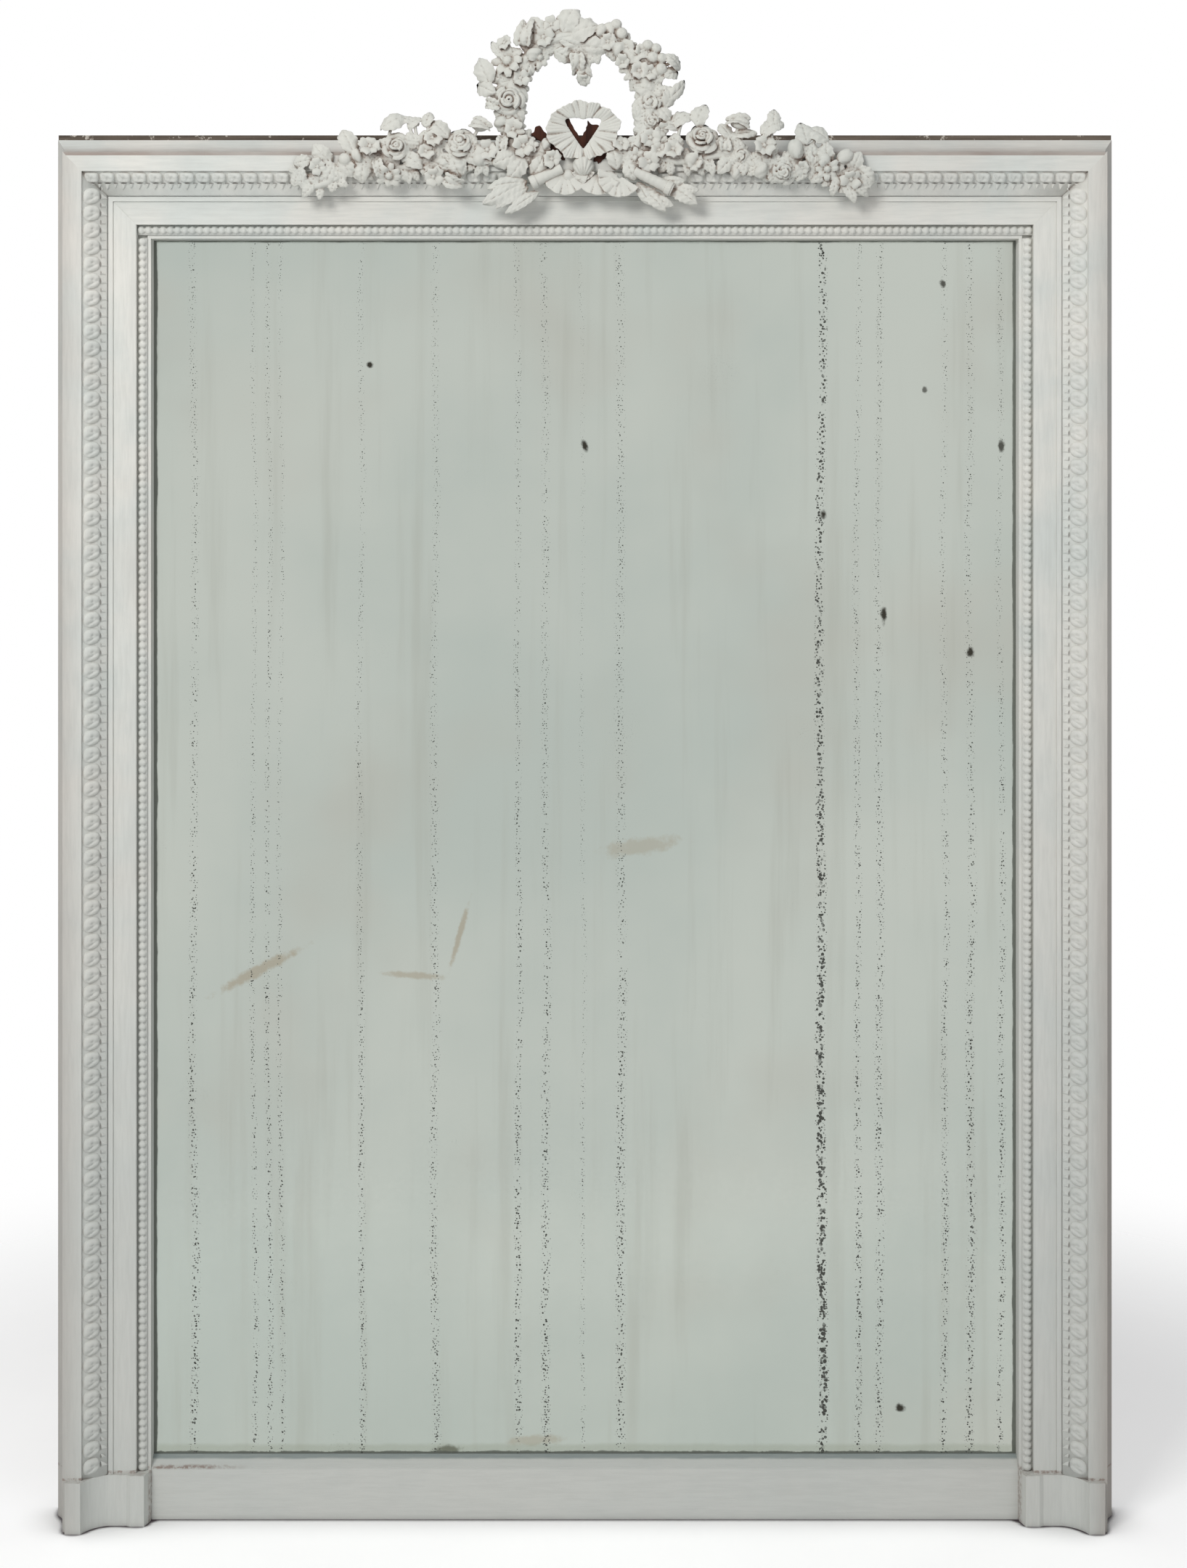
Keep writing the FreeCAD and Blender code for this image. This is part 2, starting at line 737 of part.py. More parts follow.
def add_frame_dowels():
    """Dowels of the mitres, of the stiles in their plinths, and of the bottom rail."""
    radius, length = size("dowel_radius"), size("dowel_length")
    depth = size("dowel_setback")
    foot = size("plinth_height")
    dowels = []
    for side in (-1, 1):
        for setback in (size("pearl_width + hollow_width"),
                        size("profile_width - band_width") - size("leaf_width") / 2):
            corner = FreeCAD.Vector(side * (size("sight_half") + setback), depth,
                                    size("sight_top") + setback)
            dowels.append(peg(radius, length, corner, FreeCAD.Vector(-side, 0, 1)))
        for line in ("bead_inner", "leaf_outer"):
            seat = FreeCAD.Vector(side * size(line), depth, foot)
            dowels.append(peg(radius, length, seat, FreeCAD.Vector(0, 0, 1)))
        for level in (foot / 4, foot * 3 / 4):
            seat = FreeCAD.Vector(side * size("sight_half"), size("rail_front") / 2, level)
            dowels.append(peg(radius, length, seat, FreeCAD.Vector(1, 0, 0)))
    return keep("frame_dowels", add_shape("frame_dowels", Part.makeCompound(dowels)))


def hanger_line():
    """Distance of the hanging rings from the middle of the mirror."""
    return size("frame_half - hanger_inset")


def add_hanger_screws():
    screws = []
    shape = screw_shape(size("hanger_screw_radius"), size("hanger_head_radius"),
                        size("hanger_thickness"), size("hanger_screw_length"))
    for side in (-1, 1):
        for step in (0, size("hanger_screw_step")):
            level = size("hanger_height + hanger_screw_first") + step
            place = FreeCAD.Vector(side * hanger_line(), -size("hanger_thickness"), level)
            screws.append(shape.translated(place))
    return keep("hanger_screws", add_shape("hanger_screws", Part.makeCompound(screws)))


def build_hangers(screws):
    """Steel plate with a rolled knuckle, and the ring that turns in it."""
    thickness, width = size("hanger_thickness"), size("hanger_width")
    pivot = FreeCAD.Vector(hanger_line(), -size("knuckle_radius"), size("hanger_height"))
    along = FreeCAD.Vector(1, 0, 0)
    plate = small_block(pivot.x - width / 2, pivot.x + width / 2, -thickness, 0,
                        pivot.z, pivot.z + size("hanger_length"))
    knuckle = peg(size("knuckle_radius"), width, pivot, along)
    bore = peg(size("ring_wire + ring_play"), 2 * width, pivot, along)
    blank = add_shape("hanger_blank", plate.fuse(knuckle).cut(bore).removeSplitter())
    left = keep("hanger_plate_left", drill("hanger_plate_left", blank, screws))
    mirrored_twin("hanger_plate_right", left)
    wire, radius = size("ring_wire"), size("ring_radius")
    bow = Part.makeTorus(radius, wire, FreeCAD.Vector(0, 0, 0), FreeCAD.Vector(0, 0, 1), -180, 180, 180)
    bow.rotate(FreeCAD.Vector(0, 0, 0), along, -90)
    bow.translate(pivot)
    bar = peg(wire, 2 * radius, pivot, along)
    ends = [Part.makeSphere(wire, pivot.add(FreeCAD.Vector(side * radius, 0, 0))) for side in (-1, 1)]
    ring = bow.fuse([bar] + ends).removeSplitter()
    mirrored_twin("ring_right", keep("ring_left", add_shape("ring_left", ring)))


# --- crest -----------------------------------------------------------------------------------

# Places in the crest: distance to the mirror's left of the middle, height above the top edge
# of the front band, and size, all in millimetres. A leaf also has the direction of its tip.

ROSES = {
    "garland_left": [(228, 7, 19), (151, 12, 19)],
    "garland_right": [(-142, 17, 20), (-190, -1, 14), (-240, -19, 15)],
    "wreath_left": [(92, 66, 20), (86, 114, 17)],
    "wreath_right": [(-4, 145, 14), (-77, 71, 15), (-78, 48, 14)],
}
BLOSSOMS = {
    "garland_left": [(323, -15, 10), (260, 8, 11), (238, -22, 13), (184, 18, 9), (183, -24, 12),
                     (118, 4, 13), (69, 8, 13)],
    "garland_right": [(-107, 4, 11), (-217, 9, 11), (-254, 6, 11), (-293, -15, 13),
                      (-60, -6, 12), (-76, -9, 10)],
    "wreath_left": [(87, 30, 11), (44, 139, 11), (52, 120, 10)],
    "wreath_right": [(-42, 132, 10), (-64, 117, 10), (-78, 108, 10), (-66, 96, 10), (-76, 30, 10)],
}
LEAVES = {
    "garland_left": [(341, -9, 22, 160), (318, 2, 26, 40), (300, -26, 26, -60), (287, -2, 36, 75),
                     (232, 36, 26, 80), (208, -8, 26, 135), (176, 30, 26, 50), (161, -30, 26, -20),
                     (128, 34, 28, 20), (100, -4, 30, 160)],
    "garland_right": [(-118, 40, 26, 60), (-141, 44, 26, 130), (-187, 38, 28, 170),
                      (-181, -20, 22, -90), (-227, 30, 28, 100), (-214, -12, 24, -80),
                      (-268, 24, 28, 70), (-281, 22, 26, 160), (-315, -4, 28, 140),
                      (-338, -24, 30, -130)],
    "wreath_left": [(124, 98, 26, 60), (123, 74, 22, 150), (102, 136, 22, 60), (76, 142, 28, 100),
                    (58, 156, 22, 80)],
    "wreath_right": [(16, 160, 36, 120), (-15, 154, 28, 30), (-87, 128, 24, 60),
                     (-108, 110, 26, 150), (-108, 80, 26, 170), (-98, 58, 26, 200)],
}
# Shares of the radius of a rose, a blossom, a pleat and a core.
PETAL_SPREAD, PETAL_SIZE, PETAL_FORWARD = 0.56, 0.5, 0.2
HEART_SIZE, HEART_FORWARD = 0.58, 0.45
DISH_BASE, DISH_DEPTH = 0.55, 0.75
BUTTON_SIZE, BUTTON_FORWARD = 0.45, 0.8
PLEAT_NARROW, PLEAT_FORWARD = 0.6, 0.4
FAN_BOARD, FAN_HOLE, FAN_HOLE_DEPTH = 0.85, 0.8, 3
STALK_FORWARD, STEM_FORWARD, LIMB_FORWARD = 0.5, 0.6, 0.75
DISH_SUNK = 1.0
FAN_START, FAN_TURN = -27.0, 234.0
BEYOND = 4000.0
PLEATS = 9
FAN_INNER, FAN_OUTER, PLEAT_RADIUS = 22.0, 42.0, 9.0
FAN_CENTRE = (1.0, 22.0)
KNOT_RADIUS = 15.0
KNOT_CENTRE = (0.0, -18.0)
LOOP_LENGTH, LOOP_BREADTH, LOOP_THICKNESS = 56.0, 30.0, 14.0
LOOP_CENTRES = {"bow_loop_left": (24.0, -36.0, -20.0), "bow_loop_right": (-30.0, -37.0, 200.0)}
QUIVER_ENDS = ((38.0, -24.0), (128.0, -44.0))
QUIVER_RADII = (11.0, 8.0)
TORCH_ENDS = ((-69.0, -24.0), (-126.0, -50.0))
TORCH_RADII = (7.0, 10.0)
STAFF_FORWARD = 6.0
COLLAR_LENGTH, COLLAR_RISE = 8.0, 3.0
FLIGHT_LENGTH, FLIGHT_REACH = 34.0, 14.0
LEAF_BREADTH_SHARE = 0.55
PETALS = 5
DOWEL_PLACES = ((290.0, 0.0), (128.0, 0.0), (5.0, -6.0), (-128.0, 0.0), (-290.0, 0.0))
WREATH_LIMBS = {"wreath_left": (-38, 88), "wreath_right": (88, 218)}


def crest_point(left, up, forward):
    """A point of the crest, its depth counted forward from the face of the front band."""
    return FreeCAD.Vector(left, size("band_front") + forward, size("top_band_outer") + up)


def rose(left, up, radius):
    """Five round petals about a raised heart."""
    petals = []
    for number in range(PETALS):
        angle = 2 * math.pi * number / PETALS + math.radians(left)
        across = PETAL_SPREAD * radius * math.cos(angle)
        rise = PETAL_SPREAD * radius * math.sin(angle)
        middle = crest_point(left + across, up + rise, PETAL_FORWARD * radius)
        petals.append(Part.makeSphere(PETAL_SIZE * radius, middle))
    heart = crest_point(left, up, HEART_FORWARD * radius)
    return petals + [Part.makeSphere(HEART_SIZE * radius, heart)]


def blossom(left, up, radius):
    """Shallow dish with a button in it."""
    dish = Part.makeCone(DISH_BASE * radius, radius, DISH_DEPTH * radius,
                         crest_point(left, up, -DISH_SUNK), FreeCAD.Vector(0, 1, 0))
    button = crest_point(left, up, BUTTON_FORWARD * radius)
    return [dish, Part.makeSphere(BUTTON_SIZE * radius, button)]


def leaf(left, up, length, direction):
    """Pointed leaf in the plane of the crest."""
    thickness = size("petal_thickness")
    shape = pointed_leaf(length, LEAF_BREADTH_SHARE * length, thickness)
    shape.rotate(FreeCAD.Vector(0, 0, 0), FreeCAD.Vector(0, 0, 1), direction)
    shape.rotate(FreeCAD.Vector(0, 0, 0), FreeCAD.Vector(1, 0, 0), 90)
    shape.translate(crest_point(left, up, thickness))
    return [shape]


def rod(ends, radii, forward):
    """Tapered rod between two places of the crest."""
    start = crest_point(ends[0][0], ends[0][1], forward)
    end = crest_point(ends[1][0], ends[1][1], forward)
    along = end.sub(start)
    if radii[0] == radii[1]:
        return Part.makeCylinder(radii[0], along.Length, start, along)
    return Part.makeCone(radii[0], radii[1], along.Length, start, along)


def core_place(name, left, up):
    """Nearest place on the core of a garland or of the wreath."""
    if name in WREATH_LIMBS:
        centre_left, centre_up = size("wreath_offset"), size("wreath_rise")
        across, rise = left - centre_left, up - centre_up
        share = size("wreath_radius") / math.hypot(across, rise)
        return centre_left + share * across, centre_up + share * rise
    inner, outer = size("stem_start"), size("stem_reach")
    along = min(max(abs(left), inner), outer - size("stem_radius"))
    return math.copysign(along, left), -size("stem_drop")


def flowers(name):
    """Everything that grows on one limb of the crest, each on a stalk from its core."""
    parts = []
    radius = size("stalk_radius")
    for places, make in ((ROSES, rose), (BLOSSOMS, blossom), (LEAVES, leaf)):
        for place in places[name]:
            parts += make(*place)
            core = core_place(name, place[0], place[1])
            if math.dist(core, place[:2]) > radius:
                parts.append(rod((core, place[:2]), (radius, radius), STALK_FORWARD * radius))
    return parts


def garland_stem(side):
    """Straight core behind the flowers of a garland."""
    radius = size("stem_radius")
    level = -size("stem_drop")
    ends = ((side * size("stem_start"), level), (side * size("stem_reach"), level))
    return rod(ends, (radius, radius), STEM_FORWARD * radius)


def wreath_limb(low, high):
    """Arc of the wreath's round core, between two angles from the mirror's left."""
    tube = size("wreath_tube")
    centre = crest_point(size("wreath_offset"), size("wreath_rise"), LIMB_FORWARD * tube)
    radius = size("wreath_radius")
    limb = Part.makeTorus(radius, tube, FreeCAD.Vector(0, 0, 0), FreeCAD.Vector(0, 0, 1),
                          -180, 180, high - low)
    limb.rotate(FreeCAD.Vector(0, 0, 0), FreeCAD.Vector(0, 0, 1), low)
    limb.rotate(FreeCAD.Vector(0, 0, 0), FreeCAD.Vector(1, 0, 0), 90)
    limb.translate(centre)
    return limb


def bow_fan():
    """Pleats spread round the hollow heart of the bow."""
    left, up = FAN_CENTRE
    parts = []
    for number in range(PLEATS):
        angle = math.radians(FAN_START + FAN_TURN * (number + 0.5) / PLEATS)
        inner = (left + FAN_INNER * math.cos(angle), up + FAN_INNER * math.sin(angle))
        outer = (left + FAN_OUTER * math.cos(angle), up + FAN_OUTER * math.sin(angle))
        parts.append(rod((inner, outer), (PLEAT_NARROW * PLEAT_RADIUS, PLEAT_RADIUS),
                         PLEAT_FORWARD * PLEAT_RADIUS))
    ring = Part.makeCylinder(FAN_BOARD * FAN_OUTER, PLEAT_RADIUS, crest_point(left, up, 0),
                             FreeCAD.Vector(0, 1, 0))
    heart = Part.makeCylinder(FAN_HOLE * FAN_INNER, FAN_HOLE_DEPTH * PLEAT_RADIUS,
                              crest_point(left, up, FAN_HOLE_DEPTH), FreeCAD.Vector(0, 1, 0))
    return join(parts + [ring]).cut(heart)


def bow_loop(left, up, direction):
    """Flattened loop of ribbon below the knot."""
    shape = pointed_leaf(LOOP_LENGTH, LOOP_BREADTH, LOOP_THICKNESS)
    shape.rotate(FreeCAD.Vector(0, 0, 0), FreeCAD.Vector(0, 0, 1), direction)
    shape.rotate(FreeCAD.Vector(0, 0, 0), FreeCAD.Vector(1, 0, 0), 90)
    shape.translate(crest_point(left, up, LOOP_THICKNESS))
    return shape


def attribute(ends, radii):
    """Tapered staff of the trophy with a collar and a feathered end."""
    left, up = ends[1]
    angle = math.atan2(up - ends[0][1], left - ends[0][0])
    collar_end = (left + math.copysign(COLLAR_LENGTH, left), up - COLLAR_RISE)
    collar_radius = radii[1] + COLLAR_RISE
    collar = rod((ends[1], collar_end), (collar_radius, collar_radius), STAFF_FORWARD)
    flight = leaf(left + FLIGHT_REACH * math.cos(angle), up + FLIGHT_REACH * math.sin(angle),
                  FLIGHT_LENGTH, math.degrees(angle))
    return join([rod(ends, radii, STAFF_FORWARD), collar] + flight)


def join(parts):
    return parts[0].fuse(parts[1:])


def seat_on_band(shape, neighbours):
    """Trims the back flat against the front band and clears the pieces already in place."""
    behind = small_block(-BEYOND, BEYOND, -BEYOND, size("band_front"), 0, BEYOND)
    touching = [item for item in neighbours if item.BoundBox.intersect(shape.BoundBox)]
    return shape.cut([behind] + touching)


def crest_solids():
    """Each carved piece of the crest, in the order in which one lies over the next."""
    made = {}

    def place(name, shape):
        trimmed = seat_on_band(shape, list(made.values()))
        pieces = sorted(trimmed.Solids, key=lambda solid: solid.Volume)
        if len(pieces) > 1:
            loose = sum(piece.Volume for piece in pieces[:-1])
            print(f"{name}: {len(pieces) - 1} loose slivers dropped, {loose:.1f} mm3")
        made[name] = pieces[-1]

    left, up = KNOT_CENTRE
    place("bow_knot", Part.makeSphere(KNOT_RADIUS, crest_point(left, up, KNOT_RADIUS / 2)))
    place("bow_fan", bow_fan())
    for name, centre in LOOP_CENTRES.items():
        place(name, bow_loop(*centre))
    place("quiver", attribute(QUIVER_ENDS, QUIVER_RADII))
    place("torch", attribute(TORCH_ENDS, TORCH_RADII))
    for name, limb in WREATH_LIMBS.items():
        place(name, join([wreath_limb(*limb)] + flowers(name)))
    for name, side in (("garland_left", 1), ("garland_right", -1)):
        place(name, join([garland_stem(side)] + flowers(name)))
    return made


def add_crest_dowels():
    """Dowels that carry the garlands and the bow on the front band."""
    radius, length = size("crest_dowel_radius"), size("crest_dowel_length")
    forward = FreeCAD.Vector(0, 1, 0)
    dowels = []
    for left, drop in DOWEL_PLACES:
        middle = crest_point(left, drop - size("stem_drop"), 0)
        dowels.append(peg(radius, length, middle, forward))
    return keep("crest_dowels", add_shape("crest_dowels", Part.makeCompound(dowels)))


def build_crest(dowels):
    for name, shape in crest_solids().items():
        blank = add_shape(name + "_blank", shape)
        keep(name, drill(name, blank, dowels))


# --- build, check and write ------------------------------------------------------------------

def group(name, items):
    compound = document.addObject("Part::Compound", name)
    compound.Links = items
    return compound


def build_all():
    fill_sheet()
    board_screws = add_board_screws()
    frame_dowels = add_frame_dowels()
    hanger_screws = add_hanger_screws()
    crest_dowels = add_crest_dowels()
    fixings = group("frame_fixings", [board_screws, frame_dowels, hanger_screws, crest_dowels])
    build_stiles(fixings)
    build_top_rail(fixings)
    build_bottom_rail(fixings)
    build_plinths(fixings)
    build_coves()
    build_cap()
    build_sight_fillets()
    build_leaf_mouldings()
    build_pearl_strings()
    build_plate()
    build_wedges()
    build_back_boards(board_screws)
    build_hangers(hanger_screws)
    build_crest(crest_dowels)


def check_and_write():
    document.recompute()
    for item in document.Objects:
        if "Invalid" in item.State or "Error" in item.State:
            raise RuntimeError(item.Label + " failed to build")
    for item in sub_parts:
        if item.Shape.isNull() or not item.Shape.isValid():
            raise RuntimeError(item.Label + " has no valid shape")
    os.makedirs("parts", exist_ok=True)
    for item in sub_parts:
        item.Shape.exportStep(f"parts/{item.Label}.step")
        box = item.Shape.BoundBox
        print(f"{item.Label}: {len(item.Shape.Solids)} solids, {item.Shape.Volume:.0f} mm3, "
              f"x {box.XMin:.1f} {box.XMax:.1f}, y {box.YMin:.1f} {box.YMax:.1f}, "
              f"z {box.ZMin:.1f} {box.ZMax:.1f}")


build_all()
check_and_write()
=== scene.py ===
"""Looks of the painted overmantel mirror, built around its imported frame."""

import math
import random

import bmesh
import bpy
from mathutils import Matrix, Vector


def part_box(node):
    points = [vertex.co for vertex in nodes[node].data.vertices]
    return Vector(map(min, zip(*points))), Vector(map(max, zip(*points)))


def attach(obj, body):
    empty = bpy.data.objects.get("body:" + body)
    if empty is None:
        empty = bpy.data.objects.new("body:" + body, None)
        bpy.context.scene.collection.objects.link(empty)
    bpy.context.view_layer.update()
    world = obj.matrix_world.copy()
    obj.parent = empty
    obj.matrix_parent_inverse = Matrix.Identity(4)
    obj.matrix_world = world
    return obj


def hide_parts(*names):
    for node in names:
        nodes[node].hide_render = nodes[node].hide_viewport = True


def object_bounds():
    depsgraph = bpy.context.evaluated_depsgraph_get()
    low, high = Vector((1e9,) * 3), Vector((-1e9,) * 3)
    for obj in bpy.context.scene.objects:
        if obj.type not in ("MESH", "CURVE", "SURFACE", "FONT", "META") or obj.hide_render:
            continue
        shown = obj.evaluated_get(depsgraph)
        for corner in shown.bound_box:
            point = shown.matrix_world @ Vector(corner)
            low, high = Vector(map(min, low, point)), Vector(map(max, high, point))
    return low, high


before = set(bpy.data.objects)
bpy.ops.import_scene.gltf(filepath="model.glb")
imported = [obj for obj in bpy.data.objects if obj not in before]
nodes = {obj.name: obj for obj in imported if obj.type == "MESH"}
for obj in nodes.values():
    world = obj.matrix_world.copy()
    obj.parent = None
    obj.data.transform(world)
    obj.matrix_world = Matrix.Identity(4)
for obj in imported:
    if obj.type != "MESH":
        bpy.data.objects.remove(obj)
cad_box = [list(corner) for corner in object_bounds()]

MM = 0.001
BAND_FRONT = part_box("top_rail")[0].y
BAND_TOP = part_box("cove_top")[0].z
CREST_FRONT = cad_box[0][1] + 0.4 * MM
CREST_TOP = cad_box[1][2] - 0.4 * MM


def crest(left, up, forward):
    """A point of the crest in metres, from millimetres to the mirror's left, up and forward."""
    return Vector((-left * MM, BAND_FRONT - forward * MM, BAND_TOP + up * MM))


# --- material nodes ----------------------------------------------------------------------------

class Nodes:
    """Short names for building one material's node tree."""

    def __init__(self, name):
        self.material = bpy.data.materials.new(name)
        self.material.use_nodes = True
        self.tree = self.material.node_tree
        self.shader = self.tree.nodes["Principled BSDF"]
        self.output = self.tree.nodes["Material Output"]
        self.place = self.add("ShaderNodeTexCoord").outputs["Object"]

    def add(self, kind, **settings):
        node = self.tree.nodes.new(kind)
        for name, value in settings.items():
            setattr(node, name, value)
        return node

    def link(self, source, socket):
        if hasattr(source, "is_output"):
            self.tree.links.new(source, socket)
        else:
            socket.default_value = source

    def scaled(self, factors, turn=(0, 0, 0)):
        """Object coordinates stretched by a factor along each axis."""
        node = self.add("ShaderNodeMapping")
        node.inputs["Scale"].default_value = factors
        node.inputs["Rotation"].default_value = turn
        self.link(self.place, node.inputs["Vector"])
        return node.outputs["Vector"]

    def noise(self, scale, detail=4, rough=0.6, vector=None):
        node = self.add("ShaderNodeTexNoise")
        node.inputs["Scale"].default_value = scale
        node.inputs["Detail"].default_value = detail
        node.inputs["Roughness"].default_value = rough
        self.link(self.place if vector is None else vector, node.inputs["Vector"])
        return node.outputs["Fac"]

    def dots(self, scale, reach, chance):
        """Round dots on an upright face, at most one to a cell; reach is a dot's radius in cells."""
        node = self.add("ShaderNodeTexVoronoi", voronoi_dimensions="2D")
        node.inputs["Scale"].default_value = scale
        self.link(self.scaled((1, 1, 1), (math.pi / 2, 0, 0)), node.inputs["Vector"])
        luck = self.ramp(node.outputs["Color"], *chance)
        inside = self.math("SUBTRACT", self.math("MULTIPLY", reach, luck), node.outputs["Distance"])
        return self.ramp(inside, 0.0, 0.05)

    def math(self, operation, first, second=0.0, third=None):
        node = self.add("ShaderNodeMath", operation=operation)
        self.link(first, node.inputs[0])
        self.link(second, node.inputs[1])
        if third is not None:
            self.link(third, node.inputs[2])
        return node.outputs[0]

    def ramp(self, value, low, high, bottom=0.0, top=1.0):
        """Value taken from low..high to bottom..top, smoothly and clamped."""
        node = self.add("ShaderNodeMapRange", interpolation_type="SMOOTHSTEP")
        self.link(value, node.inputs["Value"])
        for name, amount in (("From Min", low), ("From Max", high), ("To Min", bottom), ("To Max", top)):
            self.link(amount, node.inputs[name])
        return node.outputs["Result"]

    def mix(self, share, first, second, blend="MIX"):
        node = self.add("ShaderNodeMix", data_type="RGBA", blend_type=blend)
        self.link(share, node.inputs["Factor"])
        self.link(first, node.inputs["A"])
        self.link(second, node.inputs["B"])
        return node.outputs["Result"]

    def axis(self, name):
        node = self.add("ShaderNodeSeparateXYZ")
        self.link(self.place, node.inputs[0])
        return node.outputs[name]

    def bump(self, height, strength, distance, normal=None):
        node = self.add("ShaderNodeBump")
        node.inputs["Strength"].default_value = strength
        node.inputs["Distance"].default_value = distance
        self.link(height, node.inputs["Height"])
        if normal is not None:
            self.link(normal, node.inputs["Normal"])
        return node.outputs["Normal"]

    def hollow(self, reach):
        """1 deep in a corner or fold, 0 on an open surface."""
        node = self.add("ShaderNodeAmbientOcclusion", samples=8)
        node.inputs["Distance"].default_value = reach
        return self.math("SUBTRACT", 1.0, node.outputs["AO"])


def colour(red, green, blue):
    """Linear colour from display values 0..255."""
    def linear(value):
        share = value / 255
        return share / 12.92 if share <= 0.04045 else ((share + 0.055) / 1.055) ** 2.4
    return (linear(red), linear(green), linear(blue), 1.0)


FILL = 0.32
FILL_TINT = (0.97, 0.985, 1.0, 1)
FLOOR_LIFT = 0.38
FLOOR_FADE = (0.9, 1.8)
CHALK = colour(222, 221, 215)
CHALK_COOL = colour(209, 213, 209)
CHALK_WARM = colour(216, 208, 200)
PAINTED_FOOT_SHADE = colour(196, 198, 194)
# Colours of the dirt and painted shade in the hollows.
DIRT_AND_SHADE = colour(118, 92, 78)
DEEP_DIRT_AND_SHADE = colour(66, 50, 42)


def paint(name, dirt=0.5, brush=(9, 9, 1.2), dirt_and_shade_reach=0.006, carved=False, tone=None, extra_dirt_and_shade=None):
    """Chalky old paint: brush strokes, uneven tone, dirt and painted shade in the hollows, and painted shade
    toward the foot so that it is paler toward the top; on carvings also painted highlights on the ridges.
    """
    n = Nodes(name)
    cloud = n.noise(6.0, 5, 0.6)
    streak = n.noise(26.0, 5, 0.65, n.scaled(brush))
    base = n.mix(n.ramp(cloud, 0.38, 0.66), CHALK, CHALK_COOL)
    base = n.mix(n.ramp(n.noise(3.1, 3), 0.52, 0.75, 0, 0.65), base, CHALK_WARM)
    # Painted shade: the paint is greyed toward the foot and stays palest at the top, as if lit from above.
    low = n.ramp(n.axis("Z"), 0.05, 1.5, 0.75, 0.0)
    base = n.mix(low, base, PAINTED_FOOT_SHADE)
    if tone:
        base = n.mix(tone[1](n), base, tone[0])
    base = n.mix(n.ramp(streak, 0.35, 0.7, 0, 0.22), base, colour(178, 180, 176))
    grain = n.noise(900.0, 3, 0.7)
    base = n.mix(n.ramp(grain, 0.6, 0.8, 0, 0.14), base, colour(150, 142, 134))
    # Dirt and painted shade: hollows, corners and recesses are darkened by how closed in they are, for the
    # dirt there and for the shade that falls there; dirt sets how strongly.
    folds = n.hollow(dirt_and_shade_reach)
    patchy = n.ramp(n.noise(38.0, 5, 0.7), 0.32, 0.68, 0.35, 1.0)
    shade = n.math("MULTIPLY", n.ramp(folds, 0.3, 0.85), n.math("MULTIPLY", patchy, dirt))
    base = n.mix(shade, base, DIRT_AND_SHADE)
    deep = n.math("MULTIPLY", n.ramp(folds, 0.72, 0.98), n.ramp(n.noise(60.0, 4), 0.45, 0.62, 0, dirt))
    base = n.mix(deep, base, DEEP_DIRT_AND_SHADE)
    if carved:
        base = n.mix(0.55, base, colour(200, 200, 192))
        # Grime and painted shade in the carving's folds, and painted shade with dirt along its concave
        # creases.
        grime_and_shade = n.math("MULTIPLY", n.ramp(folds, 0.10, 0.55),
                       n.ramp(n.noise(30.0, 5, 0.7), 0.3, 0.62, 0.3, 0.9))
        base = n.mix(grime_and_shade, base, colour(134, 112, 98))
        bend = n.add("ShaderNodeNewGeometry").outputs["Pointiness"]
        crease = n.math("MULTIPLY", n.ramp(bend, 0.492, 0.44), n.ramp(n.noise(45.0, 4), 0.3, 0.6, 0.4, 0.95))
        base = n.mix(crease, base, colour(112, 92, 80))
        # Painted highlight: the carving's convex ridges are lightened.
        base = n.mix(n.ramp(bend, 0.52, 0.58, 0, 0.6), base, colour(224, 221, 214))
    # A mask given per material darkens it further: dirt at the joints and in the cove, and on the uprights
    # also painted shade along the outer edges.
    if extra_dirt_and_shade:
        base = n.mix(extra_dirt_and_shade(n), base, colour(122, 96, 84))
    n.link(base, n.shader.inputs["Base Color"])
    n.link(n.ramp(streak, 0.3, 0.7, 0.68, 0.86), n.shader.inputs["Roughness"])
    n.shader.inputs["Specular IOR Level"].default_value = 0.3
    height = n.math("ADD", n.math("MULTIPLY", streak, 0.7), n.math("MULTIPLY", n.noise(160.0, 4), 0.5))
    normal = n.bump(height, 0.35, 0.0008)
    n.link(n.bump(grain, 0.2, 0.0002, normal), n.shader.inputs["Normal"])
    return n.material


def timber(name, pale, dark, along, roughness=0.75, flecks=0.0):
    """Bare wood with its grain along one axis, and flecks of old paint."""
    n = Nodes(name)
    factors = [22.0, 22.0, 22.0]
    factors["XYZ".index(along)] = 0.9
    grain = n.noise(4.0, 6, 0.62, n.scaled(factors))
    fine = n.noise(30.0, 4, 0.7, n.scaled(factors))
    base = n.mix(n.ramp(grain, 0.3, 0.7), pale, dark)
    base = n.mix(n.ramp(fine, 0.5, 0.75, 0, 0.5), base, dark)
    if flecks:
        spots = n.ramp(n.noise(75.0, 5, 0.7), 0.6, 0.64, 0, flecks)
        base = n.mix(spots, base, colour(196, 190, 180))
    n.link(base, n.shader.inputs["Base Color"])
    n.shader.inputs["Roughness"].default_value = roughness
    n.shader.inputs["Specular IOR Level"].default_value = 0.25
    n.link(n.bump(n.math("ADD", grain, fine), 0.5, 0.0012), n.shader.inputs["Normal"])
    return n.material


def iron(name, base, rust, roughness):
    n = Nodes(name)
    spots = n.ramp(n.noise(90.0, 6, 0.7), 0.45, 0.65)
    n.link(n.mix(spots, base, rust), n.shader.inputs["Base Color"])
    n.link(n.ramp(spots, 0, 1, 0.95, 0.35), n.shader.inputs["Metallic"])
    n.link(n.ramp(spots, 0, 1, roughness, 0.8), n.shader.inputs["Roughness"])
    n.link(n.bump(n.noise(240.0, 5), 0.4, 0.0004), n.shader.inputs["Normal"])
    return n.material


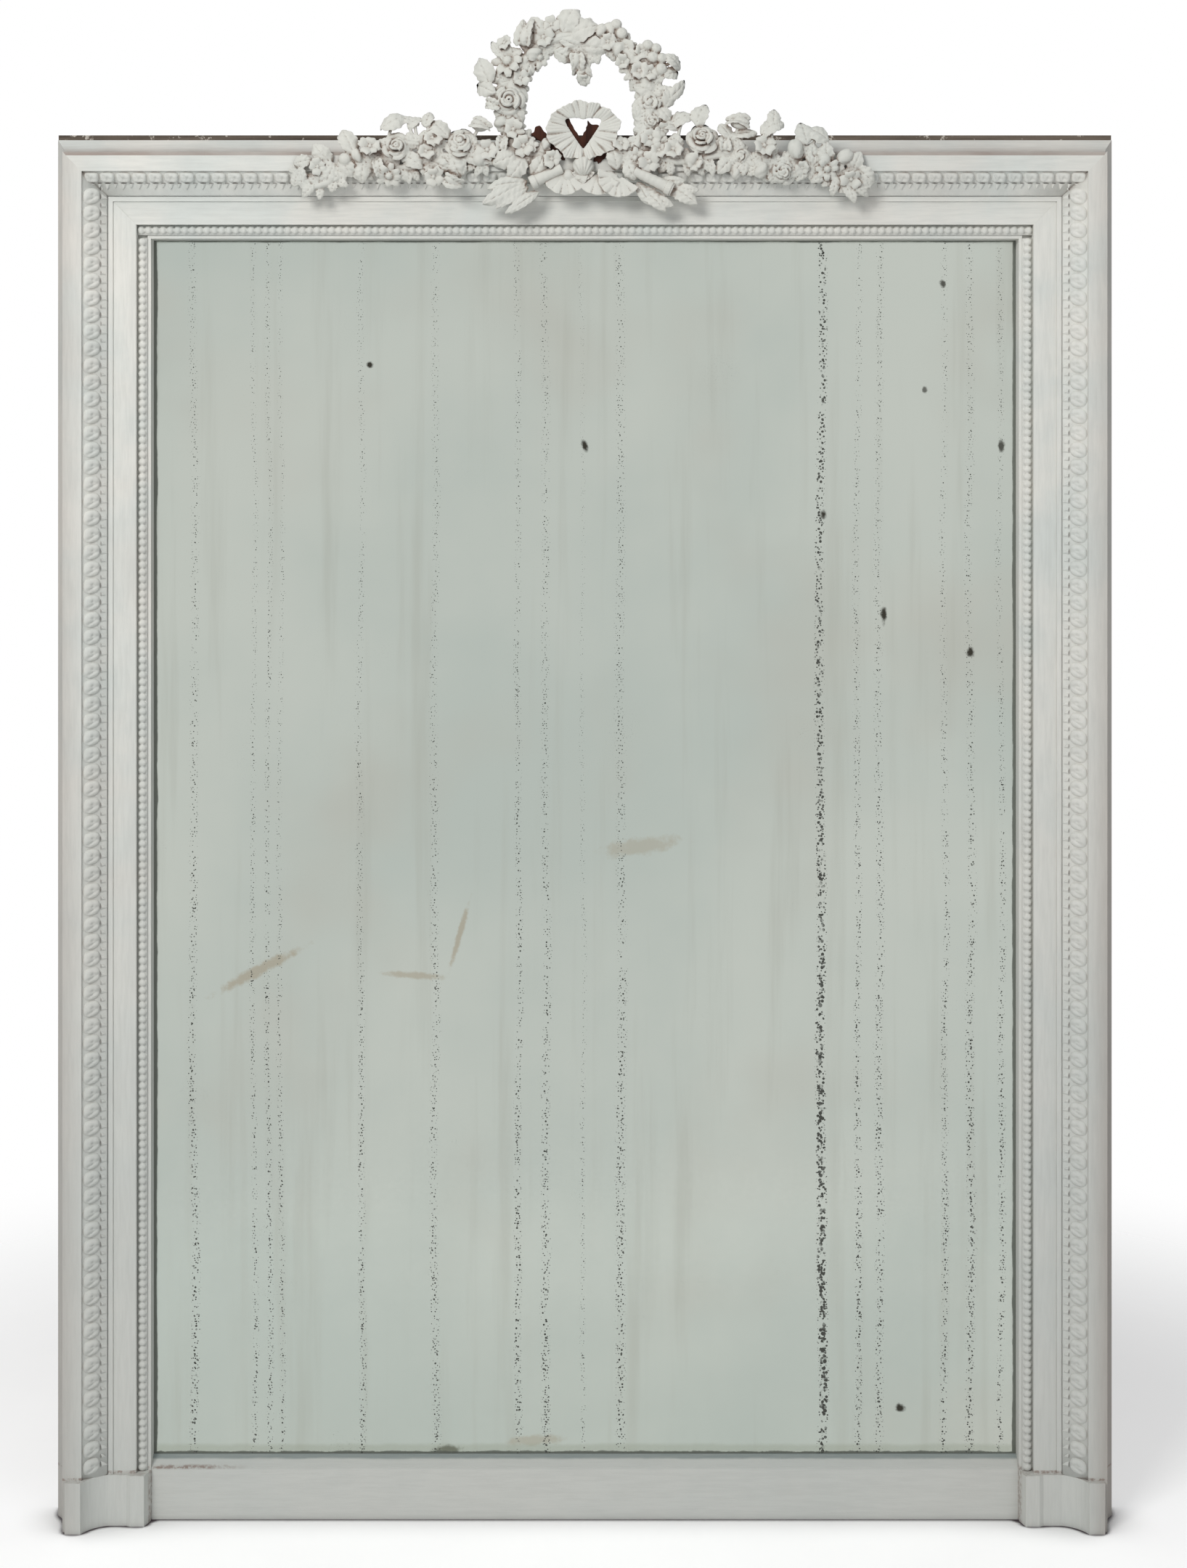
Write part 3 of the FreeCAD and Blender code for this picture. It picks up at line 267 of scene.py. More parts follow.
# Rows of specks: place across in metres, half breadth in millimetres, and strength.
STREAKS = [(-0.484, 6, 0.85), (-0.409, 4, 0.75), (-0.391, 4, 0.8), (-0.376, 4, 0.7), (-0.277, 5, 0.75),
           (-0.186, 6, 0.75), (-0.083, 5, 0.85), (-0.049, 6, 0.85), (-0.003, 4, 0.55), (0.044, 7, 0.85),
           (0.293, 6, 1.7), (0.338, 5, 0.85), (0.364, 6, 0.85), (0.445, 5, 0.8), (0.477, 6, 0.9),
           (0.515, 5, 0.8)]
# Smudges: place across and up, half length and half breadth in millimetres, turn in degrees, and strength.
SMUDGES = [(-0.155, 0.715, 5, 50, -16, 0.7), (-0.21, 0.665, 45, 6, -4, 0.6), (-0.402, 0.672, 70, 9, 28, 0.7),
           (0.07, 0.825, 60, 14, 8, 0.45), (-0.06, 0.09, 45, 8, 4, 0.5), (-0.266, 1.42, 5, 5, 0, 1.0),
           (0.443, 1.52, 5, 6, 20, 0.9), (0.0, 1.32, 5, 9, 20, 1.0), (0.295, 1.235, 6, 8, 0, 1.0),
           (0.37, 1.11, 5, 12, 0, 1.0), (0.477, 1.065, 6, 8, 0, 1.0), (0.39, 0.13, 8, 6, 0, 1.0),
           (0.515, 1.32, 5, 10, 0, 0.9), (0.42, 1.39, 4, 6, 0, 0.8), (-0.17, 0.079, 19, 7, 0, 1.0)]


def old_mirror():
    """Greenish old plate: soft cloudy silver, rows of dark specks, stains, a painted reflection of the lip
    above its foot, and a dark edge that is rotten silvering and painted shade.
    """
    n = Nodes("old_mirror_plate")
    across, level = n.axis("X"), n.axis("Z")
    cloud = n.noise(1.6, 5, 0.55)
    fine_cloud = n.noise(9.0, 5, 0.6)
    base = n.mix(n.ramp(cloud, 0.35, 0.65), colour(178, 186, 179), colour(190, 195, 187))
    base = n.mix(n.ramp(n.noise(2.4, 3), 0.5, 0.72, 0, 0.5), base, colour(180, 178, 168))
    runs = n.noise(3.0, 4, 0.6, n.scaled((9, 9, 0.5)))
    base = n.mix(n.ramp(runs, 0.5, 0.75, 0, 0.35), base, colour(164, 166, 156))
    density = n.ramp(fine_cloud, 0.5, 0.78, 0.0, 0.35)
    for place, width, strength in STREAKS:
        wobble = n.math("MULTIPLY_ADD", n.noise(2.2, 3), 0.024, across)
        gap = n.math("ABSOLUTE", n.math("SUBTRACT", wobble, place + 0.012))
        density = n.math("MAXIMUM", density, n.ramp(gap, 0.0, width * MM * 1.6, strength, 0.0))
    heavier = n.ramp(level, 0.1, 1.4, 1.15, 0.72)
    density = n.math("MULTIPLY", density, heavier)
    specks = 0.0
    for scale, size in ((190.0, 0.29), (330.0, 0.35), (80.0, 0.14)):
        dots = n.dots(scale, n.math("MULTIPLY", density, size), (0.42, 0.62))
        broken = n.ramp(n.noise(scale * 0.23, 2), 0.36, 0.52)
        specks = n.math("MAXIMUM", specks, n.math("MULTIPLY", dots, broken))
    for x, z, half_length, half_width, turn, strength in SMUDGES:
        shift = n.add("ShaderNodeVectorMath", operation="SUBTRACT")
        n.link(n.place, shift.inputs[0])
        shift.inputs[1].default_value = (x, 0, z)
        turned = n.add("ShaderNodeVectorRotate", rotation_type="Y_AXIS")
        turned.inputs["Angle"].default_value = math.radians(turn)
        n.link(shift.outputs[0], turned.inputs["Vector"])
        size = n.add("ShaderNodeVectorMath", operation="MULTIPLY")
        n.link(turned.outputs[0], size.inputs[0])
        size.inputs[1].default_value = (1 / (half_length * MM), 0, 1 / (half_width * MM))
        away = n.add("ShaderNodeVectorMath", operation="LENGTH")
        n.link(size.outputs[0], away.inputs[0])
        rough_edge = n.math("MULTIPLY_ADD", n.noise(70.0, 5, 0.7), 1.6, away.outputs["Value"])
        mark = n.ramp(rough_edge, 1.2, 1.8, strength, 0.0)
        is_stain = max(half_length, half_width) > 20
        tone = colour(152, 136, 108) if is_stain else colour(52, 50, 42)
        base = n.mix(n.math("MULTIPLY", mark, 0.75 if is_stain else 1.0), base, tone)
    # Dark ragged edge round the plate: rotten silvering, and painted shade where the frame's shaded inner
    # face is seen in the glass.
    from_side = n.math("ABSOLUTE", across)
    ragged = n.math("MULTIPLY", n.noise(16.0, 5, 0.65), 0.006)
    side_rot_and_shade = n.ramp(n.math("ADD", from_side, ragged), 0.5312, 0.5328)
    above_lip = n.math("SUBTRACT", level, n.math("MULTIPLY", n.noise(30.0, 6, 0.7), 0.008))
    foot_rot_and_shade = n.ramp(above_lip, 0.0735, 0.0718)
    # Painted reflection of the lip: a greyish band on the plate just above it.
    base = n.mix(n.ramp(above_lip, 0.084, 0.078, 0.0, 0.45), base, colour(150, 156, 140))
    top_rot_and_shade = n.ramp(n.math("ADD", level, ragged), 1.5745, 1.576)
    edge_rot_and_shade = n.math("MAXIMUM", side_rot_and_shade, n.math("MAXIMUM", foot_rot_and_shade, top_rot_and_shade))
    base = n.mix(n.math("MULTIPLY", edge_rot_and_shade, 0.85), base, colour(84, 88, 80))
    base = n.mix(specks, base, colour(52, 54, 48))
    n.link(base, n.shader.inputs["Base Color"])
    dull = n.math("MAXIMUM", specks, edge_rot_and_shade)
    n.link(n.ramp(dull, 0.0, 1.0, 1.0, 0.2), n.shader.inputs["Metallic"])
    rough = n.ramp(fine_cloud, 0.35, 0.7, 0.10, 0.20)
    n.link(n.math("MAXIMUM", rough, n.math("MULTIPLY", dull, 0.5)), n.shader.inputs["Roughness"])
    n.shader.inputs["Coat Weight"].default_value = 0.25
    n.shader.inputs["Coat Roughness"].default_value = 0.04
    n.link(n.bump(n.noise(5.0, 2), 0.05, 0.002), n.shader.inputs["Normal"])
    return n.material


# --- carving tools -----------------------------------------------------------------------------

rng = random.Random(7)


class Carving:
    """Collects closed sheets and lumps in crest millimetres, then fuses them into one carved piece."""

    def __init__(self):
        self.points, self.faces = [], []

    def grid(self, rows, loop=False):
        """Faces over rows of points already added; loop closes each row."""
        for first, second in zip(rows, rows[1:]):
            count = len(first)
            for i in range(count if loop else count - 1):
                j = (i + 1) % count
                self.faces.append((first[i], first[j], second[j], second[i]))

    def add_points(self, points, place):
        start = len(self.points)
        self.points.extend(place @ Vector(point) for point in points)
        return list(range(start, len(self.points)))

    def sheet(self, surface, place, thickness=2.0, across=7, along=7):
        """Thick sheet over surface(s, t), s from -1 to 1 and t from 0 to 1."""
        front, back = [], []
        for j in range(along):
            t = j / (along - 1)
            for i in range(across):
                s = 2 * i / (across - 1) - 1
                here = Vector(surface(s, t))
                ds = Vector(surface(s + 0.01, t)) - Vector(surface(s - 0.01, t))
                dt = Vector(surface(s, t + 0.01)) - Vector(surface(s, t - 0.01))
                normal = ds.cross(dt)
                normal = normal.normalized() if normal.length > 1e-9 else Vector((0, 0, 1))
                front.append(here + normal * thickness / 2)
                back.append(here - normal * thickness / 2)
        upper, lower = self.add_points(front, place), self.add_points(back, place)

        def row(ids, j):
            return ids[j * across:(j + 1) * across]
        self.grid([row(upper, j) for j in range(along)])
        self.grid([row(lower, j)[::-1] for j in range(along)])
        rim_top = (row(upper, 0) + [upper[j * across + across - 1] for j in range(1, along)]
                   + row(upper, along - 1)[::-1][1:] + [upper[j * across] for j in range(along - 2, 0, -1)])
        shift = lower[0] - upper[0]
        self.grid([[i + shift for i in rim_top], rim_top], loop=True)

    def lump(self, shape, place, around=14, rings=9):
        """Closed lump; shape(direction) gives its radius along each unit direction."""
        rows = []
        for j in range(1, rings):
            polar = math.pi * j / rings
            ring = []
            for i in range(around):
                turn = 2 * math.pi * i / around
                direction = Vector((math.sin(polar) * math.cos(turn), math.sin(polar) * math.sin(turn),
                                    math.cos(polar)))
                ring.append(direction * shape(direction))
            rows.append(self.add_points(ring, place))
        top, bottom = self.add_points([Vector((0, 0, shape(Vector((0, 0, 1))))),
                                       Vector((0, 0, -shape(Vector((0, 0, -1)))))], place)
        self.grid([row[::-1] for row in rows], loop=True)
        for i in range(around):
            j = (i + 1) % around
            self.faces.append((top, rows[0][i], rows[0][j]))
            self.faces.append((bottom, rows[-1][j], rows[-1][i]))

    def tube(self, line, radius, around=12):
        """Round tube along a line of points, its ends closed; radius(share) is its radius."""
        rows = []
        for k, point in enumerate(line):
            ahead = line[min(k + 1, len(line) - 1)] - line[max(k - 1, 0)]
            side = ahead.cross(Vector((0, 0, 1))).normalized()
            out = side.cross(ahead).normalized()
            size = radius(k / (len(line) - 1))
            rows.append(self.add_points([point + size * (math.cos(a) * side + math.sin(a) * out)
                                         for a in (2 * math.pi * i / around for i in range(around))],
                                        Matrix.Identity(4)))
        self.grid(rows, loop=True)
        self.faces.append(tuple(rows[0]))
        self.faces.append(tuple(rows[-1][::-1]))

    def finish(self, name, material, voxel=0.85, smooth=2):
        mesh = bpy.data.meshes.new(name)
        mesh.from_pydata([crest(*point) for point in self.points], [], self.faces)
        cleaner = bmesh.new()
        cleaner.from_mesh(mesh)
        bmesh.ops.recalc_face_normals(cleaner, faces=cleaner.faces)
        cleaner.to_mesh(mesh)
        cleaner.free()
        piece = bpy.data.objects.new(name, mesh)
        bpy.context.scene.collection.objects.link(piece)
        remesh = piece.modifiers.new("one_piece", "REMESH")
        remesh.mode = "VOXEL"
        remesh.voxel_size = voxel * MM
        remesh.use_smooth_shade = True
        soften = piece.modifiers.new("soften", "SMOOTH")
        soften.factor, soften.iterations = 0.4, smooth
        apply_modifiers(piece)
        for vertex in piece.data.vertices:
            vertex.co.y = min(max(vertex.co.y, CREST_FRONT), BAND_FRONT - 0.05 * MM)
            vertex.co.z = min(vertex.co.z, CREST_TOP)
        piece.data.materials.append(material)
        return piece


def apply_modifiers(piece):
    graph = bpy.context.evaluated_depsgraph_get()
    graph.update()
    final = bpy.data.meshes.new_from_object(piece.evaluated_get(graph))
    piece.modifiers.clear()
    piece.data = final
    final.polygons.foreach_set("use_smooth", [True] * len(final.polygons))


def spot(left, up, forward=3.0, turn=0.0, lean=0.0, toward=0.0):
    """Place of an ornament: turned in its plane, then leaned toward a direction."""
    lean_axis = Vector((-math.sin(math.radians(toward)), math.cos(math.radians(toward)), 0))
    return (Matrix.Translation((left, up, forward)) @ Matrix.Rotation(math.radians(lean), 4, lean_axis)
            @ Matrix.Rotation(math.radians(turn), 4, "Z"))


ROSE_RINGS = ((5, 0.34, 1.0, 0.04, 0.30, 0.0), (5, 0.32, 0.80, 0.10, 0.50, 0.65),
              (4, 0.26, 0.58, 0.20, 0.66, 0.2), (3, 0.16, 0.37, 0.34, 0.78, 0.9))


def rose(carving, place, radius):
    """Open rose: four rings of cupped, lapped petals round a rolled heart."""
    for count, near, far, low, high, start in ROSE_RINGS:
        for number in range(count):
            turn = Matrix.Rotation(start + 2 * math.pi * (number + rng.uniform(-0.14, 0.14)) / count, 4, "Z")
            spread = rng.uniform(0.95, 1.25) * math.pi / count
            wild, rise = rng.uniform(0.90, 1.08), rng.uniform(0.85, 1.2)

            def surface(s, t):
                opened = (far * wild - near) * max(t, 0) ** 1.5 * (1 - 0.24 * s * s)
                reach = radius * (near + opened) + 1.6 * s * t
                crimp = 0.45 * math.sin(7 * s + 9 * wild) * t
                raised = (high * rise - low) * math.sin(1.5 * t) * (1 - 0.28 * s * s)
                height = radius * (low + raised - 0.14 * t ** 8)
                return reach * math.cos(s * spread), reach * math.sin(s * spread), height + crimp + 0.9 * s
            carving.sheet(surface, place @ turn, 1.5, 9, 7)

    def heart(s, t):
        turn = 2.0 * 2 * math.pi * (s + 1) / 2
        reach = radius * (0.04 + 0.15 * (s + 1) / 2)
        return reach * math.cos(turn), reach * math.sin(turn), radius * (0.3 + 0.52 * t - 0.10 * (s + 1) / 2)
    carving.sheet(heart, place, 1.4, across=28, along=4)
    carving.lump(lambda d: radius * 0.42 * (1 - 0.35 * abs(d.z)), place)


def daisy(carving, place, radius, count=8, button=0.32):
    """Flat flower of rounded petals round a button with a ring of dots."""
    for number in range(count):
        turn = Matrix.Rotation(2 * math.pi * (number + rng.uniform(-0.15, 0.15)) / count, 4, "Z")
        wide = 1.12 * math.pi * radius * 0.62 / count
        reach, rise = rng.uniform(0.70, 0.92), rng.uniform(0.06, 0.44)

        def surface(s, t):
            half = wide * math.sin(math.pi * (0.16 + 0.70 * t)) ** 0.7
            cupped = 0.3 * math.cos(4 * s) - 0.5 * abs(s) ** 3
            height = radius * (0.12 + rise * math.sin(2.0 * t) - 0.10 * t ** 4) + cupped
            return radius * (0.18 + reach * t), half * s, height
        carving.sheet(surface, place @ turn, 2.0, 5, 6)
    dome = place @ Matrix.Translation((0, 0, 0.3 * radius))
    carving.lump(lambda d: button * radius * (1 + 0.06 * math.cos(9 * math.atan2(d.y, d.x))), dome, 18, 7)
    carving.lump(lambda d: 0.55 * radius * (1 - 0.5 * abs(d.z)), place, 12, 6)


def bloom(carving, place, radius, count=5):
    """Small flower of broad notched petals with a pricked eye."""
    for number in range(count):
        turn = Matrix.Rotation(2 * math.pi * (number + rng.uniform(-0.2, 0.2)) / count, 4, "Z")
        reach, rise, tilt = rng.uniform(0.72, 1.0), rng.uniform(0.1, 0.58), rng.uniform(-0.16, 0.16)

        def surface(s, t):
            half = radius * 0.50 * math.sin(math.pi * (0.12 + 0.66 * t)) ** 0.8 * 5 / count
            notch = 0.10 * radius * (1 - abs(s)) * t ** 6
            height = 0.18 + rise * math.sin(1.7 * t) - 0.12 * t ** 4 - 0.12 * s * s + tilt * s * t
            return radius * (0.12 + reach * t) - notch, half * s, radius * height
        carving.sheet(surface, place @ turn, 2.1, 6, 6)
    carving.lump(lambda d: 0.2 * radius, place @ Matrix.Translation((0, 0, 0.30 * radius)), 10, 6)
    carving.lump(lambda d: 0.5 * radius * (1 - 0.5 * abs(d.z)), place, 12, 6)


def leaf(carving, place, length, breadth, arch=0.24, curl=0.0, veins=4):
    """Pointed leaf along its own X, grooved along the midrib, with side veins and a waved edge."""
    phase = rng.uniform(0, 6)

    def surface(s, t):
        inside = min(max(t, 0), 1)
        half = 0.5 * breadth * math.sin(math.pi * inside ** 0.85) ** 0.7 + 0.5
        half *= 1 + 0.09 * math.sin(2 * math.pi * veins * t + phase)
        edge = abs(s) ** 2 * breadth * (0.10 * math.sin(5 * t + phase + 2 * s) - 0.14)
        groove = 1.3 * math.exp(-(s / 0.15) ** 2)
        vein = 0.45 * math.cos(2 * math.pi * (veins * t - 1.0 * abs(s)))
        height = length * arch * math.sin(math.pi * 0.85 * t) + edge - groove + vein
        height -= curl * length * inside ** 4
        return length * (t - 0.5), half * s + 0.05 * length * math.sin(3 * t + phase), height
    carving.sheet(surface, place, 1.7, 11, 14)


def bud(carving, place, size, long=1.5):
    """Closed bud along its own X, with lapped sepals."""
    def shape(d):
        stretch = 1 / math.sqrt((d.x / long) ** 2 + d.y ** 2 + d.z ** 2)
        groove = abs(math.cos(1.5 * math.atan2(d.z, d.y) + 1.2 * d.x)) ** 6
        return size * stretch * (1 - 0.13 * groove) * (1 - 0.14 * max(d.x, 0) ** 2)
    carving.lump(shape, place, 20, 12)


def berry(carving, place, size):
    carving.lump(lambda d: size * (1 - 0.16 * max(0.0, d.z) ** 12), place, 12, 8)


def half_open(carving, place, size):
    """Bud along its own X that starts to open, with two leaves lapped round it."""
    bud(carving, place, 0.62 * size, 1.7)
    for side in (-1, 1):
        beside = Matrix.Translation((0.15 * size, side * 0.45 * size, 0.1 * size))
        leaf(carving, place @ beside @ Matrix.Rotation(side * 0.6, 4, "X"), 2.3 * size, size, 0.2)


def pleated(carving, centre, inner, outer, start, turn, creases, forward, lift=6.0, along=9):
    """Gathered ribbon spread from inner to outer, both given by angle; creases lie at shares of the turn."""
    def surface(s, t):
        share = (s + 1) / 2
        angle = math.radians(start + turn * share)
        fold = rim = 0.0
        for place, depth in creases:
            gap = (share - place + 0.012 * (t - 0.5) * math.sin(40 * place)) * abs(turn) / 360
            fold += depth * math.exp(-(gap / 0.0075) ** 2)
            rim += depth * math.exp(-(gap / 0.02) ** 2)
        near, far = inner(math.degrees(angle)), outer(math.degrees(angle)) * (1 - 0.05 * rim)
        reach = near + (far - near) * t
        fine = 0.45 * math.sin(61 * angle + 4 * t) * (0.35 + 0.65 * t)
        ruffle = 1.3 * math.sin(2 * math.pi * share * len(creases) * 0.55 + 1.2) * t * t
        rising = 0.45 + 0.55 * max(t, 0.0) ** 0.7
        height = forward + lift * rising - (2.0 + 2.2 * t) * fold + fine + ruffle
        return centre[0] + reach * math.cos(angle), centre[1] + reach * math.sin(angle), height
    carving.sheet(surface, Matrix.Identity(4), 2.0, max(40, int(abs(turn) / 1.2)), along)


HEART_TIP, HEART_TOP, HEART_CORNER = 24.0, 15.5, 27.0
HEART_WALL = math.atan2(33, 22)


def heart_reach(degrees):
    """Reach of the bow's hollow heart from its middle: a V below, an arched edge above."""
    angle = math.radians(degrees)
    across, rise = abs(math.cos(angle)), math.sin(angle)
    walls = [HEART_CORNER]
    slope = math.sin(HEART_WALL) * across - math.cos(HEART_WALL) * rise
    if slope > 0.1:
        walls.append(HEART_TIP * math.cos(HEART_WALL) / slope)
    if rise > 0.1:
        walls.append((HEART_TOP - 2.0 * math.exp(-(across / 0.25) ** 2)) / rise)
    return sum(wall ** -8 for wall in walls) ** (-1 / 8)


def fan_reach(degrees):
    """Reach of the ribbon's outer edge: an uneven eight-sided outline."""
    angle = math.radians(degrees)
    side = (degrees + 12) % 45 - 22.5
    corner = (0.93 / math.cos(math.radians(side)) + 0.02 * math.sin(5 * angle + 1)
              + 0.012 * math.sin(31 * angle))
    return corner / math.hypot(math.cos(angle) / 47.5, math.sin(angle) / 37.5)


def core_tilt(left, up, name):
    """Direction away from the core, in degrees, and how far from it."""
    if name.startswith("wreath"):
        across, rise = left - 7.0, up - 60.0
        away = math.hypot(across, rise) - 85.0
        return math.degrees(math.atan2(rise, across)) + (180 if away < 0 else 0), abs(away)
    return (90.0 if up > -6 else -90.0), abs(up + 6.0)


KINDS = {
    "R": lambda c, p, s: rose(c, p, 1.12 * s),
    "D": lambda c, p, s: daisy(c, p, 1.1 * s),
    "F": lambda c, p, s: bloom(c, p, 1.15 * s, 5),
    "Q": lambda c, p, s: bloom(c, p, s, 4),
    "L": lambda c, p, s: leaf(c, p, 2.6 * s, 1.75 * s),
    "N": lambda c, p, s: leaf(c, p, 3.0 * s, 1.25 * s, 0.16),
    "B": lambda c, p, s: bud(c, p, 0.9 * s),
    "O": lambda c, p, s: berry(c, p, s),
    "T": half_open,
}
HIGH = {"R": 2.0, "D": 6.0, "F": 8.0, "Q": 8.0, "L": 5.0, "N": 5.0, "B": 8.0, "O": 8.0, "T": 9.0}

# Kind, place to the left and up in millimetres, size, and direction of the tip in degrees.
GARLAND_LEFT = [
    ("L", 341, -9, 9, 175), ("N", 347, -21, 8, 20), ("F", 323, -15, 9, 0), ("L", 318, 1, 12, 50),
    ("L", 309, -25, 10, -70),
    ("N", 297, -29, 9, -60), ("L", 288, -14, 11, -110), ("L", 287, 15, 13, 70), ("B", 276, -1, 8, 60),
    ("F", 260, 8, 11, 20), ("L", 269, -21, 10, -90), ("T", 250, -15, 9, 250), ("R", 228, 7, 19, 0),
    ("D", 237, -24, 14, 10), ("L", 232, 38, 13, 150), ("N", 214, 40, 9, 20),
    ("L", 206, 38, 8, 150), ("L", 190, 42, 8, 100),
    ("F", 184, 18, 10, 0), ("Q", 192, 3, 10, 30), ("L", 208, -8, 11, 225), ("L", 176, 30, 12, 50),
    ("R", 151, 12, 18, 40),
    ("L", 174, -12, 10, 200), ("L", 156, -14, 11, 240), ("F", 183, -26, 11, 0), ("T", 160, -31, 11, 200),
    ("N", 131, -4, 12, 200), ("T", 127, 35, 12, 205), ("F", 118, 4, 12, 0), ("T", 100, 12, 9, 90),
    ("L", 95, -4, 14, 340),
    ("D", 69, 10, 12, 0), ("B", 47, 13, 7, 100), ("L", 83, -15, 13, 310), ("L", 57, -13, 11, 120),
    ("F", 40, -6, 10, 0),
]
GARLAND_RIGHT = [
    ("L", -118, 41, 12, 160), ("L", -141, 47, 12, 115), ("L", -101, 35, 10, 25), ("R", -142, 17, 19, 0),
    ("F", -107, 5, 11, 0),
    ("F", -133, -9, 9, 0), ("L", -170, -13, 10, -50), ("T", -187, 38, 13, 5), ("L", -170, 28, 9, 60),
    ("T", -170, 12, 9, 90),
    ("R", -188, -2, 13, 30), ("B", -183, -24, 6, -80), ("B", -213, -20, 9, -60), ("N", -192, 24, 11, 170),
    ("L", -228, 44, 9, 100),
    ("L", -227, 31, 12, 150), ("F", -217, 9, 12, 0), ("L", -214, -10, 10, 260), ("R", -240, -19, 15, 20),
    ("B", -255, 7, 11, 80), ("L", -265, 25, 12, 70), ("L", -281, 23, 12, 20), ("F", -263, -16, 8, 0),
    ("N", -273, -9, 9, 90),
    ("D", -293, -17, 13, 0), ("L", -293, 1, 11, 90), ("B", -315, -3, 10, 140), ("L", -328, -10, 11, 120),
    ("F", -322, -29, 11, 0),
    ("L", -339, -25, 11, 220), ("L", -35, -4, 11, 80), ("F", -44, 12, 10, 0), ("D", -61, -5, 12, 0),
    ("F", -78, -9, 11, 0),
    ("L", -55, -19, 10, 240), ("F", -90, 4, 9, 0),
]
WREATH_LEFT = [
    ("R", 92, 65, 22, 0), ("F", 86, 30, 11, 0), ("B", 101, 40, 8, 150), ("D", 92, 112, 18, 0),
    ("L", 121, 101, 14, 70),
    ("L", 119, 79, 12, 200), ("F", 96, 134, 9, 0), ("N", 106, 127, 9, 60), ("T", 72, 144, 15, 95),
    ("L", 58, 156, 10, 60),
    ("F", 50, 141, 11, 0), ("Q", 40, 156, 10, 0), ("D", 55, 118, 12, 0), ("L", 70, 104, 9, -60),
    ("F", 78, 92, 9, 0),
    ("N", 98, 92, 8, 160), ("T", 112, 60, 9, 190), ("L", 82, 48, 10, 250), ("F", 74, 10, 11, 10),
    ("B", 62, 122, 9, -30),
]
WREATH_RIGHT = [
    ("L", 18, 163, 15, 110), ("L", 3, 149, 16, 170), ("L", -10, 132, 15, 190), ("N", 14, 133, 14, 20),
    ("T", 10, 112, 12, -95),
    ("L", 2, 98, 10, -75), ("Q", 0, 92, 8, 0), ("L", 26, 120, 10, 210), ("B", -20, 150, 8, 120),
    ("B", -30, 152, 8, 70),
    ("O", -38, 157, 7, 0), ("O", -44, 146, 8, 0), ("F", -28, 136, 9, 0), ("B", -40, 128, 8, 100),
    ("Q", -50, 130, 9, 0),
    ("Q", -57, 118, 10, 20), ("Q", -46, 112, 9, 0), ("Q", -68, 124, 9, 0), ("O", -76, 132, 7, 0),
    ("O", -86, 128, 7, 0),
    ("O", -82, 117, 8, 0), ("O", -93, 116, 7, 0), ("F", -66, 101, 10, 0), ("Q", -78, 99, 9, 0),
    ("O", -92, 103, 8, 0),
    ("L", -106, 112, 10, 40), ("L", -104, 97, 9, -20), ("N", -109, 78, 12, 130), ("L", -100, 70, 10, 110),
    ("L", -74, 78, 12, 15),
    ("R", -79, 64, 15, 0), ("R", -80, 40, 13, 30), ("L", -96, 48, 9, 240), ("F", -79, 20, 11, 0),
    ("Q", -92, 30, 8, 0),
    ("N", -62, 52, 8, 80),
]
GROUPS = {"garland_left": GARLAND_LEFT, "garland_right": GARLAND_RIGHT, "wreath_left": WREATH_LEFT,
          "wreath_right": WREATH_RIGHT}
LIMBS = {"wreath_left": (-36, 88), "wreath_right": (88, 216)}


def core_line(name):
    if name in LIMBS:
        low, high = LIMBS[name]
        angles = [math.radians(low + (high - low) * k / 30) for k in range(31)]
        return [Vector((7 + 85 * math.cos(a), 60 + 85 * math.sin(a), 5.0)) for a in angles]
    side = 1 if name.endswith("left") else -1
    return [Vector((side * (42 + 300 * k / 30), -3 + 5 * math.sin(k * 0.62) - 0.004 * k * k * k / 3, 4.0))
            for k in range(31)]


KNOT_DOWEL = (5, -12)
GARLAND_DOWELS = ((128, -6), (290, -6))


def cover_dowel(carving, left, up):
    """Boss of the carving in which a dowel of the crest ends, out of sight."""
    carving.lump(lambda d: 8.5, spot(left, up, 7.0))


